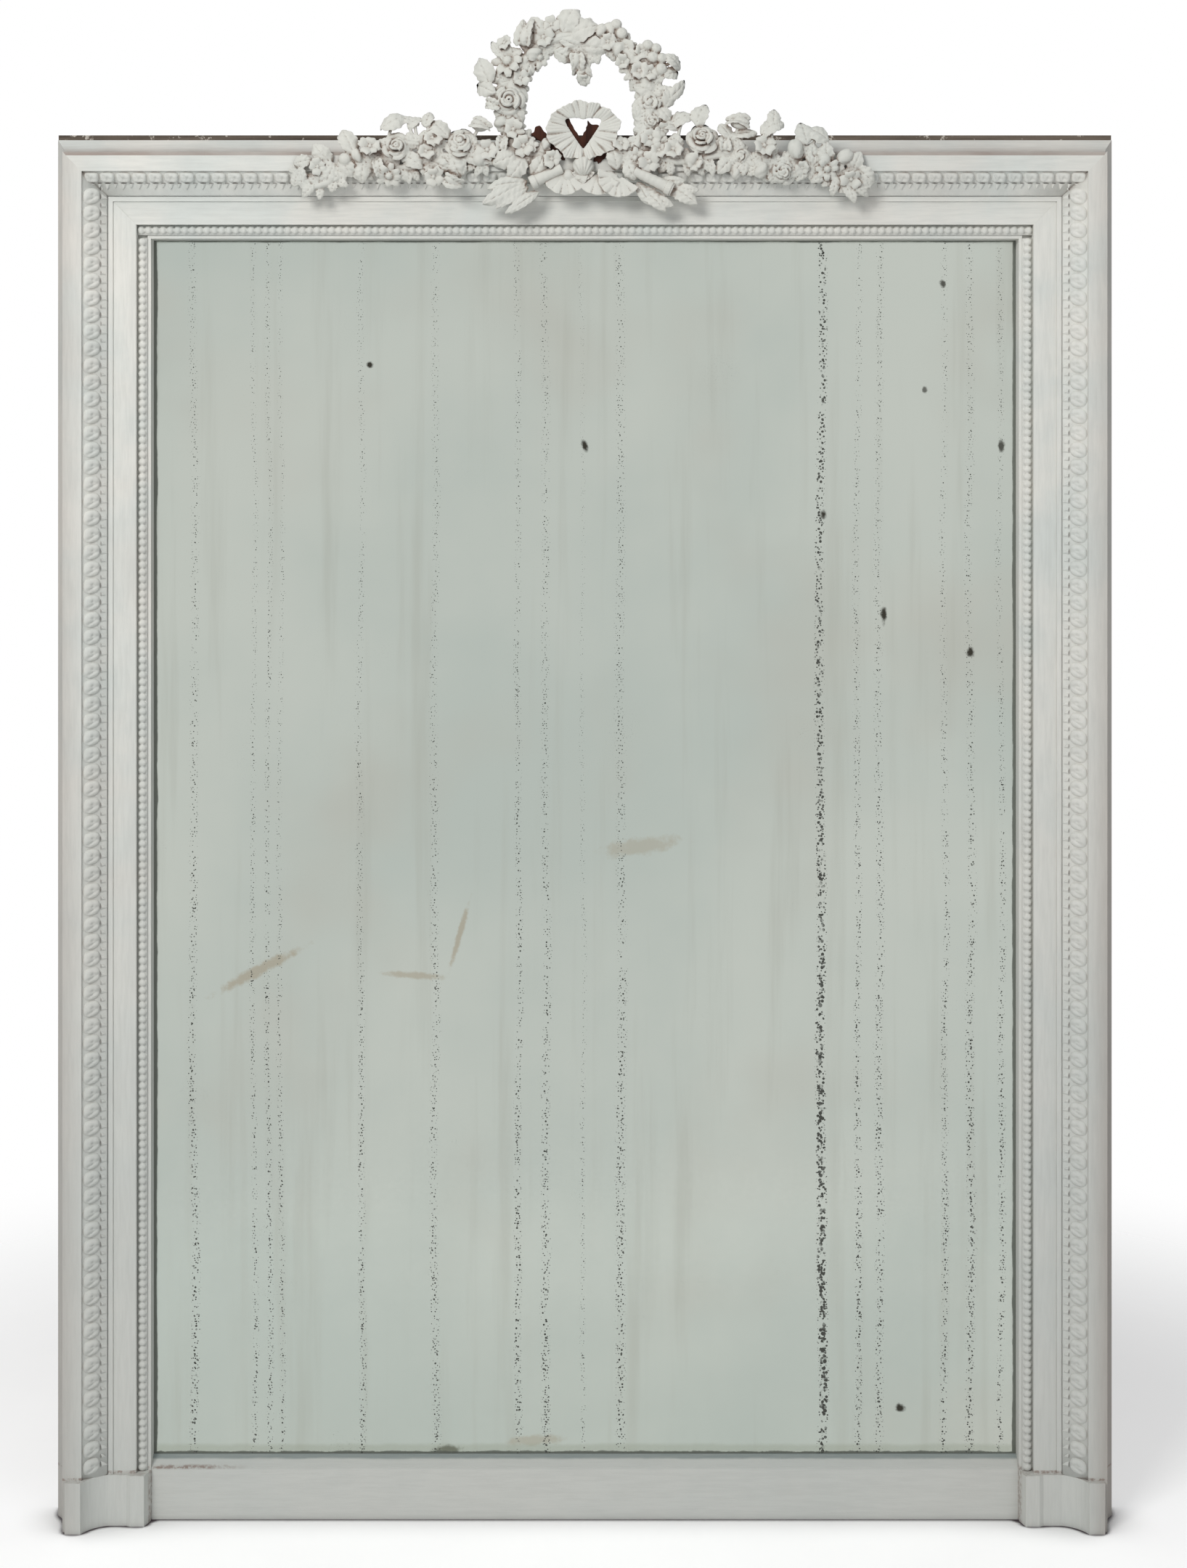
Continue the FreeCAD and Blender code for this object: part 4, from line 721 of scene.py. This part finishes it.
def grow(name):
    """One limb of the crest: its core, small leaves along it and its flowers."""
    carving = Carving()
    line = core_line(name)
    wreath = name in LIMBS
    carving.tube(line, lambda share: (6.5 if wreath else 4.2) + 0.8 * math.sin(37 * share))
    if not wreath:
        for left, up in GARLAND_DOWELS:
            cover_dowel(carving, left if name.endswith("left") else -left, up)
    for k in range(1, 30):
        for side in ((-1, 1, 1) if wreath else (-1, 1)):
            along = line[k + 1] - line[k - 1]
            heading = math.degrees(math.atan2(along.y, along.x)) + side * rng.uniform(35, 85)
            heading += 180 * rng.randint(0, 1)
            reach = rng.uniform(5, 13)
            away = Vector((math.cos(math.radians(heading)), math.sin(math.radians(heading)), 0))
            foot = line[k] + away * reach
            place = spot(foot.x, foot.y, rng.uniform(1.5, 4.5), heading, rng.uniform(5, 25), heading)
            leaf(carving, place, rng.uniform(15, 23), rng.uniform(8, 12), 0.2)
    for kind, left, up, size, tip in GROUPS[name]:
        toward, away = core_tilt(left, up, name)
        lean = min(32.0, 1.1 * away) + rng.uniform(-5, 5)
        place = spot(left, up, HIGH[kind] + rng.uniform(-1, 1) - 0.05 * away, tip, lean, toward)
        KINDS[kind](carving, place, size)
        root = min(line, key=lambda point: (point.x - left) ** 2 + (point.y - up) ** 2)
        if (root.xy - Vector((left, up))).length > 6:
            bend = Vector(((root.x + left) / 2 + 0.12 * (up - root.y), (root.y + up) / 2, 6.5))
            end = Vector((left, up, 5.5))
            stalk = [root.lerp(bend, q).lerp(bend.lerp(end, q), q) for q in (0, 0.2, 0.4, 0.6, 0.8, 1)]
            carving.tube(stalk, lambda share: 2.6 - 0.7 * share, 8)
            heading = math.degrees(math.atan2(up - root.y, left - root.x))
            for side in (-1, 1):
                beside = spot(bend.x + 3 * side, (root.y + up) / 2, 5.5, heading + side * rng.uniform(15, 40))
                leaf(carving, beside, rng.uniform(16, 21), rng.uniform(10, 13), 0.18)
    piece = carving.finish(name + "_carved", CARVED_PAINT, 0.65, 1)
    dress(piece, "painted_carving", name)


def dress(piece, slot, *replaced, body="frame"):
    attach(piece, body)
    if replaced:
        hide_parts(*replaced)
    return piece


# --- bow and trophy ----------------------------------------------------------------------------

# Creases of the ribbons: share of the turn, and depth.
FAN_CREASES = [(0.0, 0.8), (0.06, 0.5), (0.12, 0.9), (0.17, 0.4), (0.23, 1.0), (0.29, 0.5), (0.35, 0.9),
               (0.43, 0.7), (0.47, 0.5), (0.53, 0.7), (0.60, 1.5), (0.68, 0.5), (0.76, 0.9), (0.82, 0.5),
               (0.87, 0.9), (0.93, 0.6), (1.0, 0.8)]
SHELL_CREASES = [(0.14, 0.6), (0.3, 0.9), (0.42, 0.5), (0.55, 0.9), (0.7, 0.6), (0.86, 0.9)]
KNOT_CREASES = [(0.1, 0.6), (0.24, 0.9), (0.4, 0.6), (0.58, 0.9), (0.75, 0.7), (0.9, 0.6)]


def gathered_knob(direction):
    """Radius of the knot's domed middle, pleated from its foot upward."""
    spread = math.atan2(direction.x, direction.y + 1.35)
    pleat = abs(math.cos(12.5 * spread)) ** 3
    return 13.2 * (1 - 0.09 * pleat * max(direction.z, 0.0) ** 0.5) * (1 + 0.06 * direction.y)


# Unpainted, broken ribbon ends behind the bow: both ends of each in millimetres, and its breadth.
BACKING_SLATS = [((61, 31), (24, -4), 12), ((25, 44), (0, 4), 8), ((-12, 37), (3, 6), 15),
                 ((-33, 18), (-13, -8), 12)]


def slat(carving, start, end, breadth, forward):
    """Thin ribbon end with ragged edges between two points, narrower toward the second."""
    length = math.dist(start, end)
    heading = math.degrees(math.atan2(end[1] - start[1], end[0] - start[0]))

    def surface(s, t):
        half = 0.5 * breadth * (1.2 - 0.4 * t + 0.10 * math.sin(9 * t + 2) + 0.07 * math.sin(31 * t))
        return length * (t - 0.5) + 1.5 * math.sin(4 * s), half * s, 0.5 * math.sin(5 * t) - 0.4 * s * s
    middle = spot((start[0] + end[0]) / 2, (start[1] + end[1]) / 2, forward, heading)
    carving.sheet(surface, middle, 1.8, 9, 24)


def make_bow():
    fan = Carving()
    pleated(fan, (2, 29), heart_reach, fan_reach, -90, 360, FAN_CREASES, 3.0, 8.5, 12)
    dress(fan.finish("bow_fan_carved", CARVED_PAINT, 0.6, 1), "painted_carving", "bow_fan")
    backing = Carving()
    for start, end, breadth in BACKING_SLATS:
        slat(backing, start, end, breadth, 1.6)
    dress(backing.finish("bow_backing_wood", BROKEN_WOOD, 0.7, 1), "bare_dark_wood")
    knot = Carving()
    pleated(knot, (2, -17), lambda a: 1.5, lambda a: 15.0, -160, 140, KNOT_CREASES, 2.0, 7.0)
    knot.lump(gathered_knob, spot(2, -15, 5.5), 64, 32)
    cover_dowel(knot, *KNOT_DOWEL)
    dress(knot.finish("bow_knot_carved", CARVED_PAINT, 0.65, 1), "painted_carving", "bow_knot")
    left = Carving()
    pleated(left, (24, -22), lambda a: 3.0, lambda a: 28.0, 188, 172, SHELL_CREASES, 2.0, 8.0)
    left.lump(lambda d: 8.0, spot(20, -25, 3.0))
    dress(left.finish("bow_loop_left_carved", CARVED_PAINT), "painted_carving", "bow_loop_left")
    right = Carving()
    pleated(right, (-16, -22), lambda a: 3.0, lambda a: 28.0, 205, 118, SHELL_CREASES[::2], 2.0, 8.0)
    pleated(right, (-42, -26), lambda a: 3.0, lambda a: 27.0, 212, 165, SHELL_CREASES, 3.0, 9.0)
    right.lump(lambda d: 8.0, spot(-30, -27, 3.0))
    dress(right.finish("bow_loop_right_carved", CARVED_PAINT), "painted_carving", "bow_loop_right")


def staff(carving, ends, radii, forward):
    start, end = Vector((*ends[0], forward)), Vector((*ends[1], forward))
    line = [start.lerp(end, k / 14) for k in range(15)]

    def radius(share):
        return radii[0] + (radii[1] - radii[0]) * share + 0.25 * math.sin(40 * share)
    carving.tube(line, radius, 18)


# Middle to the left and up, heading in degrees, length and breadth.
QUIVER_FEATHERS = [(97, -45, -22, 60, 22), (94, -37, -14, 48, 16), (88, -52, -30, 46, 14),
                   (76, -58, -27, 48, 13)]
TORCH_FEATHERS = [(-118, -49, 209, 42, 20), (-81, -54, 220, 44, 18), (-72, -47, 232, 32, 14),
                  (-94, -55, 208, 30, 13), (-106, -32, 172, 30, 12), (-124, -41, 190, 28, 12)]


def make_trophy():
    quiver = Carving()
    staff(quiver, ((28, -17), (66, -35)), (6.6, 7.6), 7.0)
    staff(quiver, ((59, -32), (65, -35)), (8.6, 8.8), 7.0)
    for left, up, heading, length, breadth in QUIVER_FEATHERS:
        leaf(quiver, spot(left, up, 6.0, heading, 5, heading + 180), length, breadth, 0.10, 0.08, 7)
    dress(quiver.finish("quiver_carved", CARVED_PAINT, 0.65, 1), "painted_carving", "quiver")
    torch = Carving()
    staff(torch, ((-60, -20), (-106, -43)), (6.2, 7.8), 7.0)
    staff(torch, ((-98, -39), (-104, -42)), (8.8, 9.2), 7.0)
    for left, up, heading, length, breadth in TORCH_FEATHERS:
        leaf(torch, spot(left, up, 5.0, heading, 5, heading + 180), length, breadth, 0.10, 0.08, 7)
    dress(torch.finish("torch_carved", CARVED_PAINT, 0.65, 1), "painted_carving", "torch")


# --- leaf mouldings ----------------------------------------------------------------------------

TOP_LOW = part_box("leaf_moulding_top")[0]
SEAT_IN, SEAT_OUT = 57.0, 74.0
SEAT_WIDE = 28.0
REAR = 19.5


def moulding_point(side, across, along, proud):
    """Point of a leaf moulding: across from its inner edge, along it, and proud of its slope, in mm."""
    slope = math.atan2(SEAT_OUT - SEAT_IN, SEAT_WIDE)
    depth = SEAT_IN + (SEAT_OUT - SEAT_IN) * across / SEAT_WIDE + proud * math.cos(slope)
    across -= proud * math.sin(slope)
    if side == "top":
        return Vector((along * MM, (REAR - depth) * MM, TOP_LOW.z + across * MM))
    out = -583.0 - across if side == "left" else 583.0 + across
    return Vector((out * MM, (REAR - depth) * MM, along * MM))


def egg_leaf(side, middle, along, half_across, half_along, power, skew):
    """Grid of one cast leaf: domed, dimpled and veined, with its rim sunk into the seat."""
    rows = []
    for ring in range(9):
        share = ring / 8
        row = []
        for step in range(22):
            turn = 2 * math.pi * step / 22
            c, s = math.cos(turn), math.sin(turn)
            edge = (abs(c) ** power + abs(s) ** power) ** (-1 / power)
            a, b = half_across * share * edge * c, half_along * share * edge * s
            dome = (3.6 + 1.3 * s * share) * math.sqrt(max(0.0, 1 - share ** 3.2)) - 0.9 * share ** 8
            dimple = -1.9 * math.exp(-((a + 1) / 2.4) ** 2 - ((b - 1) / 1.9) ** 2)
            fold = -1.9 * (1 - share ** 4) * math.exp(-((b + 0.5 * a + 3.2) / 1.3) ** 2)
            vein = 0.22 * share * (1 - share) * 4 * math.cos(5 * turn + 0.6)
            row.append(moulding_point(side, middle + a, along + b - skew * a, dome + dimple + fold + vein))
        rows.append(row)
    return rows


def tooth(side, across, along, size, hook):
    """Small hooked dart that points inward."""
    rows = []
    for k in range(7):
        t = k / 6
        half = 0.5 * size * (1 - t) ** 0.7 + 0.3
        row = []
        for j in range(7):
            s = 2 * j / 6 - 1
            row.append(moulding_point(side, across - size * 0.95 * t, along + half * s + hook * t * t,
                                      2.3 * (1 - s * s) * (1 - 0.35 * t) - 0.4))
        rows.append(row)
    return rows


def cast(name, node, grids, material):
    """One casting from grids of points: each closed round its rows or not, and capped at its ends or not."""
    verts, faces = [], []
    for rows, loop, capped in grids:
        start, count = len(verts), len(rows[0])
        verts.extend(point for row in rows for point in row)
        for r in range(len(rows) - 1):
            for i in range(count if loop else count - 1):
                j = (i + 1) % count
                faces.append((start + r * count + i, start + r * count + j,
                              start + (r + 1) * count + j, start + (r + 1) * count + i))
        if capped:
            faces.append(tuple(range(start, start + count)))
            faces.append(tuple(range(len(verts) - 1, len(verts) - 1 - count, -1)))
    mesh = bpy.data.meshes.new(name)
    mesh.from_pydata(verts, [], faces)
    cleaner = bmesh.new()
    cleaner.from_mesh(mesh)
    bmesh.ops.remove_doubles(cleaner, verts=cleaner.verts, dist=1e-6)
    bmesh.ops.recalc_face_normals(cleaner, faces=cleaner.faces)
    cleaner.to_mesh(mesh)
    cleaner.free()
    mesh.polygons.foreach_set("use_smooth", [True] * len(mesh.polygons))
    mesh.materials.append(material)
    piece = bpy.data.objects.new(name, mesh)
    bpy.context.scene.collection.objects.link(piece)
    dress(piece, "painted_cast_ornament", node)


def leaf_moulding(side, span, pitch, leaf_middle, half_across, power, skew, dart_line):
    low, high = span
    number = round((high - low) / pitch)
    step = (high - low) / number
    grids = []
    for k in range(number):
        along = low + (k + 0.5) * step
        wobble = 0.35 * math.sin(12.9 * k)
        grids.append((egg_leaf(side, leaf_middle + 0.2 * wobble, along + wobble, half_across,
                               step / 2 - 0.35, power, skew), True, False))
        for part, size in ((0.0, 7.2), (0.5, 5.4)):
            grids.append((tooth(side, dart_line, along + part * step, size, -1.6), False, False))
    seat = []
    for across, proud in ((0, -3.0), (0, -0.5), (1.5, -0.2), (SEAT_WIDE - 1.0, -0.4), (SEAT_WIDE, -0.4),
                          (SEAT_WIDE, -4.0)):
        reach = 20
        if side == "top":
            ends = (-(583 + across), 583 + across)
        else:
            ends = (62.0, 1624 + across)
        seat.append([moulding_point(side, across, ends[0] + (ends[1] - ends[0]) * q / reach, proud)
                     for q in range(reach + 1)])
    grids.append(([list(column) for column in zip(*seat)], True, True))
    cast("leaf_and_dart_" + side, "leaf_moulding_" + side, grids, CAST_PAINT)


PEARL_PITCH, PEARL_HALF, PEARL_HIGH = 9.0, 5.4, 4.6
PEARL_NECK = 0.42
PEARL_STEPS = 8
PEARL_BED_HALF, PEARL_BED_HIGH = 5.9, 6.5


def pearl_string(side):
    """String of close pearls on a bed that fills their seat, with a thin neck between them."""
    low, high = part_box("pearls_" + side)
    along = 0 if side == "top" else 2
    across = 2 - along
    number = round((high[along] - low[along]) / (PEARL_PITCH * MM))
    step = (high[along] - low[along]) / number
    rows = []
    for station in range(number * PEARL_STEPS + 1):
        share = 2 * (station / PEARL_STEPS % 1) - 1
        swell = max(PEARL_NECK, math.sqrt(1 - share ** 2))
        turns = [math.pi * j / 8 for j in range(9)]
        outline = [(PEARL_HALF * swell * math.cos(turn), PEARL_BED_HIGH + PEARL_HIGH * swell * math.sin(turn))
                   for turn in turns]
        outline = [(PEARL_BED_HALF, 0), (PEARL_BED_HALF, PEARL_BED_HIGH), *outline,
                   (-PEARL_BED_HALF, PEARL_BED_HIGH), (-PEARL_BED_HALF, 0)]
        row = []
        for beside, proud in outline:
            point = Vector((0, high.y - proud * MM, 0))
            point[along] = low[along] + step * station / PEARL_STEPS
            point[across] = (low[across] + high[across]) / 2 + beside * MM
            row.append(point)
        rows.append(row)
    cast("pearl_string_" + side, "pearls_" + side, [(rows, True, True)], PEARL_PAINT)


# --- materials, and the frame's own nodes --------------------------------------------------------

def cove_dirt(n):
    """Soot and dust along the foot of the top cove."""
    level = n.math("SUBTRACT", n.axis("Z"), BAND_TOP)
    wave = n.math("MULTIPLY_ADD", n.noise(14.0, 5), 0.010, level)
    return n.math("MULTIPLY", n.ramp(wave, 0.004, 0.024, 0.75, 0.12),
                  n.ramp(n.noise(5.0, 4), 0.3, 0.7, 0.6, 1.0))


def foot_dirt(n):
    """Brown dirt at the joints round the plinths and the rail."""
    seam = n.math("ABSOLUTE", n.math("SUBTRACT", n.axis("Z"), 0.064))
    side_seam = n.math("ABSOLUTE", n.math("SUBTRACT", n.math("ABSOLUTE", n.axis("X")), 0.5335))
    low = n.ramp(n.axis("Z"), 0.075, 0.06)
    dirty = n.math("MAXIMUM", n.ramp(n.math("ABSOLUTE", n.axis("X")), 0.530, 0.536),
                   n.ramp(n.axis("X"), -0.40, -0.48))
    near = n.math("MAXIMUM", n.math("MULTIPLY", dirty, n.ramp(seam, 0.0004, 0.0032, 0.8, 0.0)),
                  n.math("MULTIPLY", low, n.ramp(side_seam, 0.0003, 0.0022, 0.6, 0.0)))
    return n.math("MULTIPLY", near, n.ramp(n.noise(150.0, 4, 0.7), 0.42, 0.6, 0.15, 0.95))


def lip_top(n):
    """The worn bluish strip along the top of the lip, against the plate."""
    level = n.math("MULTIPLY_ADD", n.noise(24.0, 4), 0.002, n.axis("Z"))
    return n.ramp(level, 0.0706, 0.0728, 0.12, 0.9)


def edge_painted_shade(n):
    """Painted shade toward the outer edges of the uprights, heavier low on the right."""
    outer = n.ramp(n.math("ABSOLUTE", n.axis("X")), 0.602, 0.644, 0.0, 0.36)
    low_right = n.math("MULTIPLY", n.ramp(n.axis("X"), 0.5, 0.64), n.ramp(n.axis("Z"), 1.3, 0.3))
    return n.math("MULTIPLY", outer, n.math("MULTIPLY_ADD", low_right, 0.5, 0.75))


# Brown dirt at the joints, with the painted shade along the outer edges of the uprights.
def upright_dirt_and_shade(n):
    return n.math("MAXIMUM", foot_dirt(n), edge_painted_shade(n))


CARVED_PAINT = paint("carved_paint", dirt=0.85, brush=(3, 3, 3), dirt_and_shade_reach=0.012, carved=True)
CAST_PAINT = paint("cast_ornament_paint", dirt=0.8, brush=(4, 4, 2), dirt_and_shade_reach=0.006)
PEARL_PAINT = paint("pearl_paint", dirt=0.08, brush=(4, 4, 2), dirt_and_shade_reach=0.0015)
WOOD_PAINT = paint("upright_paint", dirt=0.2, brush=(11, 11, 0.9), dirt_and_shade_reach=0.004, extra_dirt_and_shade=upright_dirt_and_shade)
RAIL_PAINT = paint("rail_paint", dirt=0.2, brush=(0.9, 11, 11), dirt_and_shade_reach=0.004, extra_dirt_and_shade=foot_dirt)
LIP_PAINT = paint("worn_lip_paint", dirt=0.2, brush=(0.9, 11, 11), dirt_and_shade_reach=0.003,
                  tone=(colour(128, 138, 137), lip_top), extra_dirt_and_shade=foot_dirt)
COVE_PAINT = paint("top_cove_paint", dirt=0.6, brush=(0.9, 11, 11), dirt_and_shade_reach=0.006, extra_dirt_and_shade=cove_dirt)
BROKEN_WOOD = timber("broken_dark_wood", colour(74, 44, 34), colour(40, 24, 20), "Z", 0.8)
CAP_WOOD = timber("rough_dark_wood", colour(112, 102, 92), colour(62, 54, 48), "X", 0.85, 0.8)
PINE = timber("old_pine", colour(158, 124, 86), colour(104, 74, 48), "X")
BEECH = timber("old_beech", colour(196, 168, 130), colour(160, 128, 92), "Y")
IRON = iron("forged_iron", colour(62, 58, 56), colour(104, 62, 40), 0.55)
STEEL = iron("dull_steel", colour(140, 136, 130), colour(98, 78, 62), 0.45)
TIN = iron("dull_tin", colour(138, 140, 138), colour(96, 98, 96), 0.5)
MATERIALS = [
    (("cove_top",), COVE_PAINT),
    (("bottom_lip",), LIP_PAINT),
    (("top_rail", "bottom_rail", "sight_fillet_top"), RAIL_PAINT),
    (("stile_", "plinth_", "cove_", "sight_fillet_"), WOOD_PAINT),
    (("pearls_",), PEARL_PAINT),
    (("cap_board",), CAP_WOOD),
    (("back_board_", "glazing_wedges", "setting_blocks"), PINE),
    (("frame_dowels", "crest_dowels"), BEECH),
    (("mirror_glass",), old_mirror()),
    (("silvering",), TIN),
    (("hanger_plate_", "ring_"), IRON),
    (("board_screws", "hanger_screws"), STEEL),
]


def finish_nodes():
    for name, node in nodes.items():
        for starts, material in MATERIALS:
            if name.startswith(starts):
                node.data.materials.clear()
                node.data.materials.append(material)
                break


# --- stage -------------------------------------------------------------------------------------

def seen_rays(tree):
    """1 where the camera, a reflection or clear glass sees the stage, 0 for light on the object."""
    path = tree.nodes.new("ShaderNodeLightPath")
    found = path.outputs["Is Camera Ray"]
    for kind in ("Is Glossy Ray", "Is Transmission Ray"):
        either = tree.nodes.new("ShaderNodeMath")
        either.operation = "MAXIMUM"
        tree.links.new(found, either.inputs[0])
        tree.links.new(path.outputs[kind], either.inputs[1])
        found = either.outputs[0]
    return found


def make_world():
    """Soft fill on the object; plain white to the camera and in reflections."""
    world = bpy.data.worlds.new("studio")
    bpy.context.scene.world = world
    world.use_nodes = True
    tree = world.node_tree
    fill = tree.nodes["Background"]
    fill.inputs["Color"].default_value = FILL_TINT
    fill.inputs["Strength"].default_value = FILL
    white = tree.nodes.new("ShaderNodeBackground")
    white.inputs["Color"].default_value = (1, 1, 1, 1)
    choose = tree.nodes.new("ShaderNodeMixShader")
    tree.links.new(seen_rays(tree), choose.inputs[0])
    tree.links.new(fill.outputs[0], choose.inputs[1])
    tree.links.new(white.outputs[0], choose.inputs[2])
    tree.links.new(choose.outputs[0], tree.nodes["World Output"].inputs[0])


def make_floor():
    """Plain pale floor that keeps the object's shadow, with a painted contact shadow darkening it round the
    object's foot; its far parts fade into the white backdrop.
    """
    mesh = bpy.data.meshes.new("floor")
    mesh.from_pydata([(-4, -4, 0), (4, -4, 0), (4, 3, 0), (-4, 3, 0)], [], [(0, 1, 2, 3)])
    floor = bpy.data.objects.new("floor", mesh)
    bpy.context.scene.collection.objects.link(floor)
    n = Nodes("pale_floor")
    tone = n.mix(n.ramp(n.noise(2.0), 0.3, 0.7), colour(238, 238, 238), colour(244, 244, 244))
    # Painted contact shadow: the floor is darkened where the object closes it in.
    painted_contact_shadow = n.ramp(n.hollow(0.012), 0.16, 0.38, 0.0, 1.0)
    n.link(n.mix(painted_contact_shadow, tone, colour(74, 66, 70)), n.shader.inputs["Base Color"])
    n.shader.inputs["Roughness"].default_value = 0.9
    n.shader.inputs["Specular IOR Level"].default_value = 0.1
    seen = seen_rays(n.tree)
    lift = n.add("ShaderNodeEmission")
    # Painted shadow: the lift to white fades out near the object.
    lift_outside_painted_shadow = n.ramp(n.hollow(0.10), 0.1, 0.6, FLOOR_LIFT, 0.0)
    n.link(n.math("MULTIPLY", seen, lift_outside_painted_shadow), lift.inputs["Strength"])
    lifted = n.add("ShaderNodeAddShader")
    n.link(n.shader.outputs[0], lifted.inputs[0])
    n.link(lift.outputs[0], lifted.inputs[1])
    clear = n.add("ShaderNodeBsdfTransparent")
    far = n.add("ShaderNodeVectorMath", operation="LENGTH")
    n.link(n.place, far.inputs[0])
    fade = n.add("ShaderNodeMixShader")
    n.link(n.math("MULTIPLY", n.ramp(far.outputs["Value"], *FLOOR_FADE), seen), fade.inputs[0])
    n.link(lifted.outputs[0], fade.inputs[1])
    n.link(clear.outputs[0], fade.inputs[2])
    n.link(fade.outputs[0], n.output.inputs["Surface"])
    mesh.materials.append(n.material)


def add_panel(name, place, aim, size, power, tint=(1, 1, 1)):
    lamp = bpy.data.lights.new(name, "AREA")
    lamp.shape = "RECTANGLE"
    lamp.size, lamp.size_y = size
    lamp.energy = power
    lamp.color = tint
    item = bpy.data.objects.new(name, lamp)
    item.location = place
    item.rotation_mode = "QUATERNION"
    item.rotation_quaternion = (Vector(aim) - Vector(place)).to_track_quat("-Z", "Y")
    item.visible_glossy = False
    bpy.context.scene.collection.objects.link(item)


def make_lights():
    add_panel("key_light", (-1.7, -3.4, 2.9), (0, 0, 1.15), (1.4, 1.2), 88, (1, 0.99, 0.97))
    add_panel("fill_light", (2.2, -3.6, 1.3), (0, 0, 0.9), (2.0, 2.4), 18, (0.96, 0.98, 1))
    add_panel("top_light", (-0.2, -1.4, 3.9), (0, -0.05, 1.7), (2.6, 1.0), 14)


def make_camera():
    lens = bpy.data.cameras.new("camera")
    lens.sensor_fit = "AUTO"
    lens.sensor_width = 36.0
    lens.lens = 55.74
    lens.shift_x, lens.shift_y = 0.0055, -0.1718
    camera = bpy.data.objects.new("camera", lens)
    camera.location = (0, -3.0035, 1.235)
    camera.rotation_euler = (math.radians(90), 0, 0)
    bpy.context.scene.collection.objects.link(camera)
    bpy.context.scene.camera = camera


for limb in GROUPS:
    grow(limb)
make_bow()
make_trophy()
leaf_moulding("left", (66.0, 1633.0), 20.5, 17.6, 9.6, 2.5, 0.16, 7.4)
leaf_moulding("right", (66.0, 1633.0), 20.5, 17.6, 9.6, 2.5, 0.16, 7.4)
leaf_moulding("top", (-610.0, 610.0), 19.4, 21.2, 5.9, 3.6, 0.0, 14.6)
for edge in ("left", "right", "top"):
    pearl_string(edge)
finish_nodes()
make_world()
make_floor()
make_lights()
make_camera()
bpy.context.scene.view_settings.view_transform = "Standard"
